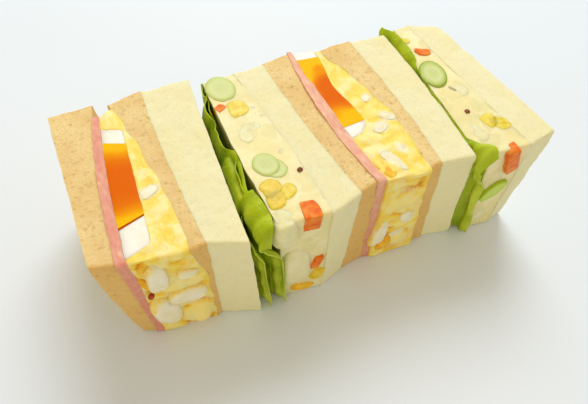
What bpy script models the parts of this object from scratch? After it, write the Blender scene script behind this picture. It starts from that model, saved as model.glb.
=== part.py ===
import math

import bmesh
import bpy
from mathutils import Matrix, Vector, noise

# Four sandwich pieces stand side by side on edge, their cut faces up.
# X runs along the row, +Y to its back, +Z up, with the flat underside on z = 0.
# Named sizes are in millimetres, and MM turns them into metres.
MM = 0.001
HEIGHT = 52.0
HALF_LENGTH = 34.0
GAP = 0.4
WAVE = 0.35
WAVE_LENGTH = 42.0
OUTER_FACE = (-79.3, -80.8, -82.3)
OUTER_LEAN = 7.0
CORNER_PRESS = 3.5

CRUMB_EDGE = 1.1
FILLING_EDGE = 1.6
FILLING_RELIEF = 0.9
FILLING_GRAIN = 5.0
HAM_EDGE = 0.5
LEAF_THICKNESS = 0.8
LEAF_CURL = 9.0
FILLING_LEAN = 0.14
EGG_THICKNESS = ((6.6, 8.0), (8.6, 8.2))
SHARP_ANGLE = 38.0

# Each layer from left to right: thickness at the back, middle and front of the cut
# face, how much wider it is at the underside, and where its left and right edges
# end at the back and at the front.
LAYERS = [
    ("brown_bread_1", (14.5, 8.9, 7.1), 0.5, (33.0, 33.5), (-26.5, -28.3)),
    ("ham_1", (1.7, 3.0, 3.1), 0.0, (27.6, 27.4), (-28.6, -29.2)),
    ("egg_salad_1", (2.6, 13.7, 17.2), -1.5, (27.6, 30.0), (-29.6, -31.4)),
    ("brown_bread_2", (11.9, 5.4, 5.8), -0.5, (32.2, 35.0), (-31.2, -30.8)),
    ("white_bread_1", (17.2, 15.1, 11.6), 1.5, (34.2, 34.6), (-30.6, -35.4)),
    ("lettuce_1", (4.1, 6.5, 10.2), -0.6, (31.0, 31.0), (-34.6, -33.6)),
    ("potato_salad_1", (11.7, 16.8, 17.5), -2.4, (31.4, 32.0), (-33.2, -34.8)),
    ("white_bread_2", (12.3, 9.7, 12.7), -2.5, (32.2, 33.0), (-35.2, -31.8)),
    ("brown_bread_3", (10.5, 7.4, 7.6), 3.0, (33.4, 35.2), (-31.4, -29.8)),
    ("ham_2", (1.9, 3.6, 2.5), 0.5, (35.8, 35.4), (-29.8, -30.2)),
    ("egg_salad_2", (9.6, 19.1, 15.5), 2.0, (34.2, 32.8), (-31.2, -32.4)),
    ("brown_bread_4", (14.2, 6.6, 5.1), 1.5, (32.8, 34.2), (-31.2, -30.8)),
    ("white_bread_3", (15.1, 13.7, 13.0), -0.5, (33.2, 32.8), (-30.6, -32.6)),
    ("lettuce_2", (6.1, 2.0, 6.4), 0.0, (36.0, 36.0), (-33.0, -33.4)),
    ("potato_salad_2", (6.8, 13.7, 16.2), -4.0, (34.4, 35.0), (-34.2, -35.4)),
    ("white_bread_4", (10.9, 12.7, 13.0), -5.0, (35.0, 30.6), (-35.6, -33.4)),
]

BROWN_CRUMB = (0.80, 0.58, 0.31, 1.0)
WHITE_CRUMB = (0.90, 0.86, 0.62, 1.0)
HAM_PINK = (0.78, 0.36, 0.32, 1.0)
EGG_WHITE = (0.93, 0.90, 0.80, 1.0)
YOLK_ORANGE = (0.85, 0.22, 0.02, 1.0)
MASH_YELLOW = (0.92, 0.72, 0.14, 1.0)
SALAD_CREAM = (0.90, 0.84, 0.54, 1.0)
LEAF_GREEN = (0.28, 0.45, 0.03, 1.0)
SPEAR_GREEN = (0.40, 0.60, 0.13, 1.0)
CARROT_ORANGE = (0.85, 0.24, 0.05, 1.0)


def mix(a, b, t):
    return a + (b - a) * t


def smooth(t):
    t = min(max(t, 0.0), 1.0)
    return t * t * (3.0 - 2.0 * t)


def curve(values, y):
    # smooth curve through a value at the back, the middle and the front
    back, middle, front = values
    t = min(max(y / HALF_LENGTH, -1.1), 1.1)
    return middle + (back - front) / 2.0 * t + ((back + front) / 2.0 - middle) * t * t


def layer_number(name):
    return [layer[0] for layer in LAYERS].index(name)


def edge(number, y, z):
    # x of the boundary on the left of a layer
    x = curve(OUTER_FACE, y)
    lean = OUTER_LEAN
    for layer in LAYERS[:number]:
        x += curve(layer[1], y)
        lean += layer[2]
    depth = 1.0 - z / HEIGHT
    x += lean * depth
    if number == 0:
        x += CORNER_PRESS * max(depth, 0.0) ** 1.5 * smooth(-y / 28.0)
    spot = Vector((number * 9.7, y / WAVE_LENGTH, z / WAVE_LENGTH))
    return x + WAVE * noise.noise(spot)


def solid_material(name, colour, roughness):
    material = bpy.data.materials.new(name)
    material.use_nodes = True
    shader = material.node_tree.nodes["Principled BSDF"]
    shader.inputs["Base Color"].default_value = colour
    shader.inputs["Roughness"].default_value = roughness
    shader.inputs["Metallic"].default_value = 0.0
    return material


def add_object(name, verts, faces, colour, roughness):
    # verts are in millimetres
    mesh = bpy.data.meshes.new(name)
    mesh.from_pydata([[c * MM for c in v] for v in verts], [], faces)
    body = bmesh.new()
    body.from_mesh(mesh)
    bmesh.ops.recalc_face_normals(body, faces=body.faces)
    body.to_mesh(mesh)
    body.free()
    obj = bpy.data.objects.new(name, mesh)
    bpy.context.scene.collection.objects.link(obj)
    if colour:
        mesh.materials.append(solid_material(name, colour, roughness))
    return obj


def grid_lines(cells, soft, size):
    # both ends, a line just inside each of them, and even cells between
    inset = min(soft / size, 0.3)
    inner = [mix(inset, 1.0 - inset, i / cells) for i in range(cells + 1)]
    return [0.0] + inner + [1.0]


def pull(value, inset, amount):
    if value == 0.0:
        return inset * amount
    if value == 1.0:
        return 1.0 - inset * amount
    return value


def soft_block(place, cells, soft, sizes):
    # surface grid of a block with softened edges; place maps (u, v, w) to millimetres
    lines = [grid_lines(n, soft, s) for n, s in zip(cells, sizes)]
    last = [len(line) - 1 for line in lines]
    verts = []
    index = {}
    for i, u in enumerate(lines[0]):
        for j, v in enumerate(lines[1]):
            for k, w in enumerate(lines[2]):
                ends = (i in (0, last[0])) + (j in (0, last[1])) + (k in (0, last[2]))
                if ends == 0:
                    continue
                spot = [u, v, w]
                if ends > 1:
                    amount = 0.29 if ends == 2 else 0.42
                    spot = [pull(c, line[1], amount) for c, line in zip(spot, lines)]
                index[(i, j, k)] = len(verts)
                verts.append(place(spot[0], spot[1], spot[2]))
    faces = []

    def side(axis, at):
        a, b = [n for n in range(3) if n != axis]
        for p in range(last[a]):
            for q in range(last[b]):
                corners = []
                for dp, dq in ((0, 0), (1, 0), (1, 1), (0, 1)):
                    key = [0, 0, 0]
                    key[axis] = at
                    key[a] = p + dp
                    key[b] = q + dq
                    corners.append(index[tuple(key)])
                if at:
                    corners = [corners[n] for n in (0, 3, 2, 1)]
                faces.append((corners[0], corners[1], corners[2]))
                faces.append((corners[0], corners[2], corners[3]))

    for axis in range(3):
        side(axis, 0)
        side(axis, last[axis])
    return verts, faces


def layer_point(number, u, v, w, relief):
    back, front = LAYERS[number][3:]
    z = w * HEIGHT
    y = mix(mix(front[0], front[1], u), mix(back[0], back[1], u), v)
    x = mix(edge(number, y, z) + GAP / 2.0, edge(number + 1, y, z) - GAP / 2.0, u)
    bump = Vector((x, y, z)) / FILLING_GRAIN
    if w > 0.97:
        z += relief * noise.noise(bump)
    if v < 0.03:
        y += relief * noise.noise(bump + Vector((0.0, 31.0, 0.0)))
    if v > 0.97:
        y += relief * noise.noise(bump + Vector((0.0, 57.0, 0.0)))
    return (x, y, z)


def layer_block(name, colour, roughness, cells, soft, relief):
    number = layer_number(name)
    sizes = (max(min(LAYERS[number][1]), 2.5 * soft), 2.0 * HALF_LENGTH, HEIGHT)
    verts, faces = soft_block(
        lambda u, v, w: layer_point(number, u, v, w, relief), cells, soft, sizes)
    return add_object(name, verts, faces, colour, roughness)


def use_boolean(target, operation, other):
    # other is one object or a collection
    modifier = target.modifiers.new(operation.lower(), "BOOLEAN")
    modifier.operation = operation
    modifier.solver = "EXACT"
    if isinstance(other, bpy.types.Collection):
        modifier.operand_type = "COLLECTION"
        modifier.collection = other
    else:
        modifier.object = other
    with bpy.context.temp_override(object=target, active_object=target):
        bpy.ops.object.modifier_apply(modifier=modifier.name)


def island_volume(faces):
    total = 0.0
    for face in faces:
        a = face.verts[0].co
        for first, second in zip(face.verts[1:-1], face.verts[2:]):
            total += a.dot(first.co.cross(second.co)) / 6.0
    return total


def keep_largest(obj):
    # drops loose scraps that a Boolean leaves and splits the faces into triangles
    body = bmesh.new()
    body.from_mesh(obj.data)
    bmesh.ops.remove_doubles(body, verts=body.verts, dist=0.00002)
    left = set(body.faces)
    islands = []
    while left:
        stack = [left.pop()]
        island = [stack[0]]
        while stack:
            for side in stack.pop().edges:
                for face in side.link_faces:
                    if face in left:
                        left.remove(face)
                        stack.append(face)
                        island.append(face)
        islands.append(island)
    islands.sort(key=island_volume)
    for island in islands[:-1]:
        bmesh.ops.delete(body, geom=island, context="FACES")
    bmesh.ops.triangulate(body, faces=body.faces)
    body.to_mesh(obj.data)
    body.free()


def remove_objects(objects):
    for obj in list(objects):
        mesh = obj.data
        bpy.data.objects.remove(obj)
        bpy.data.meshes.remove(mesh)


def add_lump(group, name, number, at, radii, turn=0.0):
    # a rounded many-sided piece kept inside its layer; at is its centre and turn its
    # angle about Z, in degrees
    body = bmesh.new()
    bmesh.ops.create_icosphere(body, subdivisions=1, radius=1.0)
    turned = Matrix.Rotation(math.radians(turn), 3, "Z")
    for vert in body.verts:
        uneven = 1.0 + 0.14 * noise.noise(vert.co * 1.7 + Vector(at))
        scaled = Vector([c * r * uneven for c, r in zip(vert.co, radii)])
        spot = turned @ scaled + Vector(at)
        low = edge(number, spot.y, spot.z) + 0.55
        high = edge(number + 1, spot.y, spot.z) - 0.55
        spot.x = min(max(spot.x, low), high)
        vert.co = spot * MM
    mesh = bpy.data.meshes.new(name)
    body.to_mesh(mesh)
    body.free()
    group.objects.link(bpy.data.objects.new(name, mesh))


def fuse_lumps(target, lumps):
    group = bpy.data.collections.new(target.name + "_lumps")
    bpy.context.scene.collection.children.link(group)
    for number, (at, radii, turn) in enumerate(lumps):
        add_lump(group, f"{target.name}_lump_{number}", layer_number(target.name), at, radii, turn)
    use_boolean(target, "UNION", group)
    remove_objects(group.objects)
    bpy.data.collections.remove(group)


def cut_pockets(target, cutters):
    for cutter in cutters:
        use_boolean(target, "DIFFERENCE", cutter)
    remove_objects(cutters)
    keep_largest(target)


def prism(name, outline, left, right, colour, roughness):
    # outline is a closed loop of (y, z); left and right give x at each of its points
    count = len(outline)
    verts = [(left(y, z), y, z) for y, z in outline]
    verts += [(right(y, z), y, z) for y, z in outline]
    faces = [tuple(range(count)), tuple(range(2 * count - 1, count - 1, -1))]
    for i in range(count):
        j = (i + 1) % count
        faces.append((i, count + i, count + j, j))
    obj = add_object(name, verts, faces, colour, roughness)
    body = bmesh.new()
    body.from_mesh(obj.data)
    bmesh.ops.triangulate(body, faces=body.faces)
    body.to_mesh(obj.data)
    body.free()
    return obj


def half_arc(centre, half_width, depth, steps, limit):
    # lower half of an ellipse in the Y-Z plane, from its front end to its back end
    points = []
    for i in range(steps + 1):
        angle = math.pi * (1.0 + i / steps)
        y = centre + half_width * math.cos(angle)
        points.append((min(y, limit), HEIGHT + depth * math.sin(angle)))
    return points


def egg_slice(number, salad, centre, half_width, yolk_centre, yolk_half_width, limit):
    # a flat slice of boiled egg stands against the ham, cut through at the cut face
    layer = layer_number(salad)
    back = min(centre + half_width, limit)
    front = centre - half_width
    at_back = edge(layer, back, HEIGHT) + EGG_THICKNESS[number - 1][0]
    at_front = edge(layer, front, HEIGHT) + EGG_THICKNESS[number - 1][1]
    lean = (edge(layer, centre, 0.0) - edge(layer, centre, HEIGHT)) / HEIGHT

    def left(y, z):
        return edge(layer, y, z) + GAP / 2.0

    def right(y, z):
        return mix(at_front, at_back, (y - front) / (back - front)) + lean * (HEIGHT - z)

    outer = half_arc(centre, half_width, 22.0, 14, limit)
    inner = half_arc(yolk_centre, yolk_half_width + 0.15, 15.6, 12, limit)
    yolk = half_arc(yolk_centre, yolk_half_width - 0.15, 15.3, 12, limit)
    crown = [(mix(yolk[-1][0], yolk[0][0], t), HEIGHT + 0.35) for t in (0.08, 0.36, 0.64, 0.92)]
    prism(f"egg_white_{number}", outer + inner[::-1], left, right, EGG_WHITE, 0.35)
    prism(f"egg_yolk_{number}", yolk + crown, left, right, YOLK_ORANGE, 0.40)
    pocket = half_arc(centre, half_width + 0.3, 22.3, 14, 60.0)
    pocket += [(pocket[-1][0], HEIGHT + 6.0), (pocket[0][0], HEIGHT + 6.0)]
    return prism(f"pocket_{number}", pocket, lambda y, z: edge(layer, y, z) - 3.0,
                 lambda y, z: right(y, z) + 0.3, None, 0.0)


def round_prism(name, lobes, axis, low, high, sides, colour, roughness):
    # elliptic cylinders fused into one; upright ones lean with the filling; a lobe is
    # centre, radii and turn
    parts = []
    for at, radii, turn in lobes:
        ring = []
        for i in range(sides):
            angle = 2.0 * math.pi * i / sides
            a = radii[0] * math.cos(angle)
            b = radii[1] * math.sin(angle)
            tilt = math.radians(turn)
            ring.append((at[0] + a * math.cos(tilt) - b * math.sin(tilt),
                         at[1] + a * math.sin(tilt) + b * math.cos(tilt)))
        if axis == "Z":
            verts = [(a + FILLING_LEAN * (HEIGHT - level), b, level)
                     for level in (low, high) for a, b in ring]
        else:
            verts = [(a, level, b) for level in (low, high) for a, b in ring]
        faces = [tuple(range(sides)), tuple(range(sides, 2 * sides))]
        for i in range(sides):
            j = (i + 1) % sides
            faces.append((i, j, sides + j, sides + i))
        parts.append(add_object(name, verts, faces, colour, roughness))
    first = parts[0]
    for other in parts[1:]:
        use_boolean(first, "UNION", other)
    remove_objects(parts[1:])
    keep_largest(first)
    return first


def grown(lobes, by):
    return [(at, (radii[0] + by, radii[1] + by), turn) for at, radii, turn in lobes]


def spear_slice(name, lobes, low):
    # a cut round of green spear set upright in the filling, and its pocket's cutter
    round_prism(name, lobes, "Z", low, HEIGHT + 0.3, 14, SPEAR_GREEN, 0.40)
    return round_prism(name + "_pocket", grown(lobes, 0.3), "Z", low - 0.3,
                       HEIGHT + 6.0, 14, None, 0.0)


def leaf(name, layer_name, offset, ends, top, curl, wave):
    # a thin wavy sheet that stands in its layer; offset is its distance from the
    # layer's left boundary at (y, z), top its upper edge and curl, in radians, how
    # far its last stretch bends over to the right at y
    layer = layer_number(layer_name)
    along = 13
    up = 5
    bend = 4
    rows = []
    for i in range(along + 1):
        y = mix(ends[0], ends[1], i / along)
        turn = curl(y)
        rise = LEAF_CURL if turn < 0.05 else LEAF_CURL * math.sin(min(turn, math.pi / 2.0)) / turn
        start = top(y) - rise
        row = []
        for k in range(up + 1):
            z = mix(0.6, start, k / up)
            ripple = wave * math.sin(y / 3.1 + z / 9.0) * math.sin(z / 7.0 + 1.0)
            row.append(Vector((edge(layer, y, z) + offset(y, z) + ripple, y, z)))
        spot = row[-1].copy()
        for k in range(bend):
            angle = turn * (k + 0.5) / bend - FILLING_LEAN
            step = LEAF_CURL / bend
            spot = spot + Vector((math.sin(angle) * step, 0.0, math.cos(angle) * step))
            row.append(spot.copy())
        rows.append(row)
    across = len(rows[0])
    half = LEAF_THICKNESS / 2.0
    verts = []
    for side in (-half, half):
        for i, row in enumerate(rows):
            for k, spot in enumerate(row):
                along_y = rows[min(i + 1, along)][k] - rows[max(i - 1, 0)][k]
                along_z = row[min(k + 1, across - 1)] - row[max(k - 1, 0)]
                normal = along_y.cross(along_z).normalized()
                verts.append(spot + normal * side)
    shift = (along + 1) * across
    faces = []
    for i in range(along):
        for k in range(across - 1):
            a = i * across + k
            b = a + across
            faces.append((a, a + 1, b + 1))
            faces.append((a, b + 1, b))
            faces.append((a + shift, b + 1 + shift, a + 1 + shift))
            faces.append((a + shift, b + shift, b + 1 + shift))
    rim = [i * across for i in range(along + 1)]
    rim += [along * across + k for k in range(1, across)]
    rim += [i * across + across - 1 for i in range(along - 1, -1, -1)]
    rim += list(range(across - 2, 0, -1))
    for a, b in zip(rim, rim[1:] + rim[:1]):
        faces.append((a, b, b + shift))
        faces.append((a, b + shift, a + shift))
    return add_object(name, verts, faces, LEAF_GREEN, 0.45)


for old in list(bpy.data.objects):
    bpy.data.objects.remove(old)

# Bread: eight soft slices, each cut flat on top.
for layer in LAYERS:
    if "bread" in layer[0]:
        crumb = BROWN_CRUMB if "brown" in layer[0] else WHITE_CRUMB
        layer_block(layer[0], crumb, 0.9, (1, 7, 3), CRUMB_EDGE, 0.25)

# Ham: one wavy slice beside each boiled egg.
for name in ("ham_1", "ham_2"):
    layer_block(name, HAM_PINK, 0.45, (1, 9, 4), HAM_EDGE, 0.2)

# Egg salad with the larger pieces of egg that show, and a pocket for the egg slice.
mash = layer_block("egg_salad_1", MASH_YELLOW, 0.5, (4, 12, 8), FILLING_EDGE, FILLING_RELIEF)
fuse_lumps(mash, [
    ((-59.0, -7.8, 51.0), (2.7, 2.0, 1.9), 20),
    ((-64.2, -30.6, 43.0), (2.9, 2.4, 4.8), 0),
    ((-54.2, -30.0, 37.0), (4.6, 2.0, 1.6), 0),
    ((-55.0, -30.2, 26.0), (6.2, 2.2, 2.1), 0),
    ((-62.0, -30.0, 14.5), (4.6, 2.8, 5.2), 0),
    ((-51.6, -29.6, 8.0), (3.9, 2.6, 3.6), 0),
])
cut_pockets(mash, [egg_slice(1, "egg_salad_1", -3.0, 24.4, -1.0, 16.6, 60.0)])

mash = layer_block("egg_salad_2", MASH_YELLOW, 0.5, (4, 12, 8), FILLING_EDGE, FILLING_RELIEF)
fuse_lumps(mash, [
    ((18.4, -23.8, 51.0), (1.8, 5.6, 1.9), 22),
    ((21.5, -8.5, 51.2), (3.2, 1.9, 1.7), -30),
    ((26.0, 2.0, 51.2), (2.6, 2.0, 1.7), 10),
    ((17.2, -30.6, 17.0), (3.0, 2.4, 5.6), 0),
    ((27.0, -30.8, 14.0), (3.6, 2.6, 4.2), 0),
    ((24.5, -31.0, 36.0), (4.0, 2.0, 3.0), 0),
])
cut_pockets(mash, [egg_slice(2, "egg_salad_2", 11.6, 22.2, 13.1, 16.9, 33.4)])

# Potato salad, with sunk rounds of green spear and dice of carrot in their pockets.
salad = layer_block("potato_salad_1", SALAD_CREAM, 0.5, (4, 12, 8), FILLING_EDGE, FILLING_RELIEF)
fuse_lumps(salad, [
    ((-20.3, 16.0, 50.8), (2.5, 2.0, 2.0), 0),
    ((-24.3, -19.4, 51.0), (2.5, 2.9, 2.0), 30),
    ((-25.2, -24.6, 50.8), (2.3, 2.7, 2.0), -20),
    ((-24.6, -31.2, 46.0), (4.2, 3.0, 4.6), 0),
    ((-19.4, -32.4, 23.0), (5.2, 2.6, 7.2), 0),
    ((-10.6, -33.6, 14.0), (2.3, 1.9, 2.1), 0),
    ((-17.5, 6.0, 50.6), (4.6, 3.4, 1.9), 40),
])
carrot_1 = [((-16.2, -31.6), (3.0, 3.0), 25)]
round_prism("carrot_dice_1", carrot_1, "Z", 45.6, HEIGHT + 0.3, 5, CARROT_ORANGE, 0.4)
cut_pockets(salad, [
    spear_slice("green_spear_1", [((-22.3, 26.8), (4.6, 5.4), 0)], 40.0),
    spear_slice("green_spear_2", [((-21.9, -9.9), (3.9, 4.3), 10), ((-18.0, -13.4), (3.3, 4.0), 30)], 43.0),
    round_prism("carrot_pocket_1", grown(carrot_1, 0.4), "Z", 45.3, HEIGHT + 6.0, 5, None, 0.0),
])

salad = layer_block("potato_salad_2", SALAD_CREAM, 0.5, (4, 12, 8), FILLING_EDGE, FILLING_RELIEF)
fuse_lumps(salad, [
    ((55.6, 26.6, 50.9), (1.9, 2.2, 1.8), 0),
    ((62.4, -21.6, 51.0), (2.5, 2.2, 1.9), 0),
    ((65.2, -23.8, 51.0), (2.3, 2.0, 1.9), 0),
    ((53.8, -23.6, 50.4), (3.0, 4.2, 2.2), 0),
    ((60.0, -4.0, 50.6), (4.2, 3.6, 1.9), 0),
    ((66.0, -33.4, 38.0), (3.2, 2.6, 4.4), 0),
])
carrot_2 = [((58.2, 18.6), (3.0, 1.6), -28)]
carrot_3 = [((60.0, -33.4), (3.1, 2.9), 20)]
pod = [((64.2, 26.8), (6.2, 3.0), 38)]
round_prism("carrot_dice_2", carrot_2, "Z", 46.0, HEIGHT + 0.3, 6, CARROT_ORANGE, 0.4)
round_prism("carrot_dice_3", carrot_3, "Z", 44.4, HEIGHT + 0.3, 5, CARROT_ORANGE, 0.4)
round_prism("green_spear_4", pod, "Y", -35.8, -30.0, 14, SPEAR_GREEN, 0.4)
cut_pockets(salad, [
    spear_slice("green_spear_3", [((56.3, 7.4), (4.5, 6.8), -10)], 41.0),
    round_prism("carrot_pocket_2", grown(carrot_2, 0.4), "Z", 45.7, HEIGHT + 6.0, 6, None, 0.0),
    round_prism("carrot_pocket_3", grown(carrot_3, 0.4), "Z", 44.1, HEIGHT + 6.0, 5, None, 0.0),
    round_prism("pod_pocket", grown(pod, 0.4), "Y", -42.0, -29.6, 14, None, 0.0),
])

# Lettuce: thin leaves stand in each potato salad piece; the left one curls over at the
# cut face, and the folds behind it show at the front.
leaf("lettuce_leaf_1", "lettuce_1", lambda y, z: 0.9, (31.0, -34.2),
     lambda y: 50.4,
     lambda y: 1.3 * smooth((1.0 - y) / 8.0) + 0.7 * smooth((-6.0 - y) / 12.0), 0.3)
leaf("lettuce_leaf_2", "lettuce_1",
     lambda y, z: edge(6, y, z) - edge(5, y, z) - 1.2, (30.4, -33.2),
     lambda y: mix(50.2, 43.0, smooth((4.0 - y) / 7.0)), lambda y: 0.0, 0.35)
leaf("lettuce_leaf_3", "lettuce_1",
     lambda y, z: 0.5 * (edge(6, y, z) - edge(5, y, z)) - 0.2, (-4.0, -33.8),
     lambda y: 45.0, lambda y: 0.0, 0.35)
leaf("lettuce_leaf_4", "lettuce_2", lambda y, z: 0.75, (35.6, -33.0),
     lambda y: mix(50.6, 51.4, smooth(y / 30.0)),
     lambda y: 1.2 * smooth((y - 21.0) / 12.0) + 1.2 * smooth((-24.0 - y) / 8.0), 0.1)
leaf("lettuce_leaf_5", "lettuce_2",
     lambda y, z: edge(14, y, z) - edge(13, y, z) - 1.1, (-22.0, -33.6),
     lambda y: mix(46.0, 43.0, smooth((-26.0 - y) / 5.0)), lambda y: 0.0, 0.15)

# Soft edges are shaded smooth, and the cuts keep their crisp rims.
for obj in bpy.context.scene.objects:
    obj.data.shade_smooth()
    obj.data.set_sharp_from_angle(angle=math.radians(SHARP_ANGLE))
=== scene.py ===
import functools
import math
import random

import bmesh
import bpy
from mathutils import Euler, Matrix, Vector, noise


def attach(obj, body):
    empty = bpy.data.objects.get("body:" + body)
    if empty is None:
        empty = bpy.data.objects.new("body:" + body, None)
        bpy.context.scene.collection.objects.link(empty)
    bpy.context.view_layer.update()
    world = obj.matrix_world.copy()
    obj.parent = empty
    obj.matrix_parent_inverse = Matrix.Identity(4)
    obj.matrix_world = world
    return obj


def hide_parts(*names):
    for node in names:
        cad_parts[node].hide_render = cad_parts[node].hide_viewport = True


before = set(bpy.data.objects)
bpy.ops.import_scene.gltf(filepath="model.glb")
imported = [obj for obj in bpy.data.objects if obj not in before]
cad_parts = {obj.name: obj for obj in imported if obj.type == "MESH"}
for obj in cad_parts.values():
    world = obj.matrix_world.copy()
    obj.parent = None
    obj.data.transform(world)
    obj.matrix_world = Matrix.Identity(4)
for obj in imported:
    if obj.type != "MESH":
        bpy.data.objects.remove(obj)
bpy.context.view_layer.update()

mm = 0.001
random.seed(7)
noise.seed_set(7)
print("frame loaded")

# the row of slices and fillings, in mm; a wave is its height, length and seed, a push how
# far a boundary swells and the y and z where it does
rowShape = {
    "height": 52.0, "halfLength": 34.0, "gap": 0.4, "fillingLean": 0.14,
    "outerFace": (-79.3, -80.8, -82.3), "outerLean": 7.0, "cornerPress": 3.5,
    "cornerReach": 28.0, "waves": ((0.35, 42.0, 9.7), (0.28, 6.5, 5.3), (0.12, 2.3, 3.1)),
    "mashWave": (1.3, 7.5, 1.7), "hamPush": (1.5, -32.0, 42.0, 6.0),
    # the reach after the mash push is how far in mm from the front and back ends the crumb's
    # painted shade goes
    "mashPush": (3.0, (-25.0, -31.0), (52.0, 34.0)), "endShadeReach": 2.2, "underShare": 0.4,
}
# left to right: thickness at the back, middle and front, growth to the underside, and the
# y of the left and right edges at the back and at the front
layers = [
    ("brown_bread_1", (14.5, 8.9, 7.1), 0.5, (33.0, 33.5), (-26.5, -28.3)),
    ("ham_1", (1.7, 3.0, 3.1), 0.0, (27.6, 27.4), (-28.6, -29.2)),
    ("egg_salad_1", (2.6, 13.7, 17.2), -1.5, (27.6, 30.0), (-29.6, -31.4)),
    ("brown_bread_2", (11.9, 5.4, 5.8), -0.5, (32.2, 35.0), (-31.2, -30.8)),
    ("white_bread_1", (17.2, 15.1, 11.6), 1.5, (34.2, 34.6), (-30.6, -35.4)),
    ("lettuce_1", (4.1, 6.5, 10.2), -0.6, (31.0, 31.0), (-34.6, -33.6)),
    ("potato_salad_1", (11.7, 16.8, 17.5), -2.4, (31.4, 32.0), (-33.2, -34.8)),
    ("white_bread_2", (12.3, 9.7, 12.7), -2.5, (32.2, 33.0), (-35.2, -31.8)),
    ("brown_bread_3", (10.5, 7.4, 7.6), 3.0, (33.4, 35.2), (-31.4, -29.8)),
    ("ham_2", (1.9, 3.6, 2.5), 0.5, (35.8, 35.4), (-29.8, -30.2)),
    ("egg_salad_2", (9.6, 19.1, 15.5), 2.0, (34.2, 32.8), (-31.2, -32.4)),
    ("brown_bread_4", (14.2, 6.6, 5.1), 1.5, (32.8, 34.2), (-31.2, -30.8)),
    ("white_bread_3", (15.1, 13.7, 13.0), -0.5, (33.2, 32.8), (-30.6, -32.6)),
    ("lettuce_2", (6.1, 2.0, 6.4), 0.0, (36.0, 36.0), (-33.0, -33.4)),
    ("potato_salad_2", (6.8, 13.7, 16.2), -4.0, (34.4, 35.0), (-34.2, -35.4)),
    ("white_bread_4", (10.9, 12.7, 13.0), -5.0, (35.0, 30.6), (-35.6, -33.4)),
]
layerOf = {layer[0]: number for number, layer in enumerate(layers)}

# back, middle, front and lean of every boundary, added up from the left
boundaries = [(*rowShape["outerFace"], rowShape["outerLean"])]
for name, thickness, growth, back, front in layers:
    boundaries.append(tuple(a + b for a, b in zip(boundaries[-1], (*thickness, growth))))


def mix(a, b, t):
    return a + (b - a) * t


def smooth(value, start=0.0, end=1.0):
    # 0 up to the start, 1 from the end on, eased in between
    t = min(max((value - start) / (end - start), 0.0), 1.0)
    return t * t * (3.0 - 2.0 * t)


def edgeX(number, y, z):
    # x of the boundary on the left of a layer
    back, middle, front, lean = boundaries[number]
    t = min(max(y / rowShape["halfLength"], -1.1), 1.1)
    x = middle + (back - front) / 2.0 * t + ((back + front) / 2.0 - middle) * t * t
    depth = 1.0 - z / rowShape["height"]
    x += lean * depth
    if number == 0:
        reach = smooth(-y, 0.0, rowShape["cornerReach"])
        x += rowShape["cornerPress"] * max(depth, 0.0) ** 1.5 * reach
    if number == layerOf["egg_salad_1"]:
        push, atY, atZ, reach = rowShape["hamPush"]
        x += push * math.exp(-((y - atY) / reach) ** 2 - ((z - atZ) / reach) ** 2)
    if number == layerOf["brown_bread_2"]:
        push, alongY, alongZ = rowShape["mashPush"]
        x += push * smooth(y, *alongY) * smooth(z, *alongZ)
    waves = rowShape["waves"]
    if number in (layerOf["brown_bread_2"], layerOf["brown_bread_4"]):
        waves = (rowShape["mashWave"], *waves)
    for height, length, seed in waves:
        x += height * noise.noise(Vector((number * seed, y / length, z / length)))
    return x


def linear(hexText):
    # sRGB hex to the linear colour that the shaders take
    values = [int(hexText[i:i + 2], 16) / 255.0 for i in (0, 2, 4)]
    return (*(v / 12.92 if v <= 0.04045 else ((v + 0.055) / 1.055) ** 2.4 for v in values), 1.0)


def every(size):
    # scale of a pattern from the size of its parts in mm
    return 1000.0 / size


def setInputs(node, inputs):
    # inputs by name, or in the node's own order; each is a value, a colour in hex, another
    # node's output, or a node that gives its first one
    if isinstance(inputs, dict):
        pairs = [(node.inputs[name], value) for name, value in inputs.items()]
    else:
        pairs = list(zip([socket for socket in node.inputs if socket.enabled], inputs))
    for socket, value in pairs:
        if isinstance(value, bpy.types.Node):
            value = next(output for output in value.outputs if output.enabled)
        if isinstance(value, bpy.types.NodeSocket):
            node.id_data.links.new(value, socket)
        else:
            socket.default_value = linear(value) if isinstance(value, str) else value


def addNode(tree, kind, inputs=(), ramp=None, **settings):
    # one node with its settings, links and colour stops
    node = tree.nodes.new("ShaderNode" + kind)
    for name, value in settings.items():
        setattr(node, name, value)
    setInputs(node, inputs)
    if ramp:
        stops = node.color_ramp.elements
        while len(stops) < len(ramp):
            stops.new(0.5)
        for stop, (position, colour) in zip(stops, ramp):
            stop.position = position
            stop.color = linear(colour)
    return node


def newMaterial(name):
    # an empty material; returns it, addNode for its tree, and the place on the piece
    material = bpy.data.materials.new(name)
    material.use_nodes = True
    add = functools.partial(addNode, material.node_tree)
    return material, add, add("TexCoord").outputs["Object"]


# settings that many nodes share
blend = {"data_type": "RGBA"}
eased = {"interpolation_type": "SMOOTHSTEP"}


def surface(material, colour, height, look):
    # ends a material: its colour, the strength and depth in mm of its fine relief, and the
    # share, tint and reach in mm of the light that goes in
    tree = material.node_tree
    strength, depth = look["bump"]
    share, tint, reach = look["soft"]
    bump = addNode(tree, "Bump", {"Height": height, "Strength": strength, "Distance": depth * mm})
    setInputs(tree.nodes["Principled BSDF"], {
        "Base Color": colour, "Normal": bump, "Roughness": look["rough"], "IOR": look["ior"],
        "Specular IOR Level": look["gloss"], "Subsurface Weight": share,
        "Subsurface Radius": tint, "Subsurface Scale": reach * mm})
    return material


def restSelected():
    for obj in bpy.context.selected_objects:
        obj.select_set(False)


def named(name):
    # the object that an operator has just added
    piece = bpy.context.active_object
    piece.name = name
    piece.data.name = name
    return piece


def storeValues(mesh, name, values):
    # one number for each vertex, for a material to read
    mesh.attributes.new(name, "FLOAT", "POINT").data.foreach_set("value", values)


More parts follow.
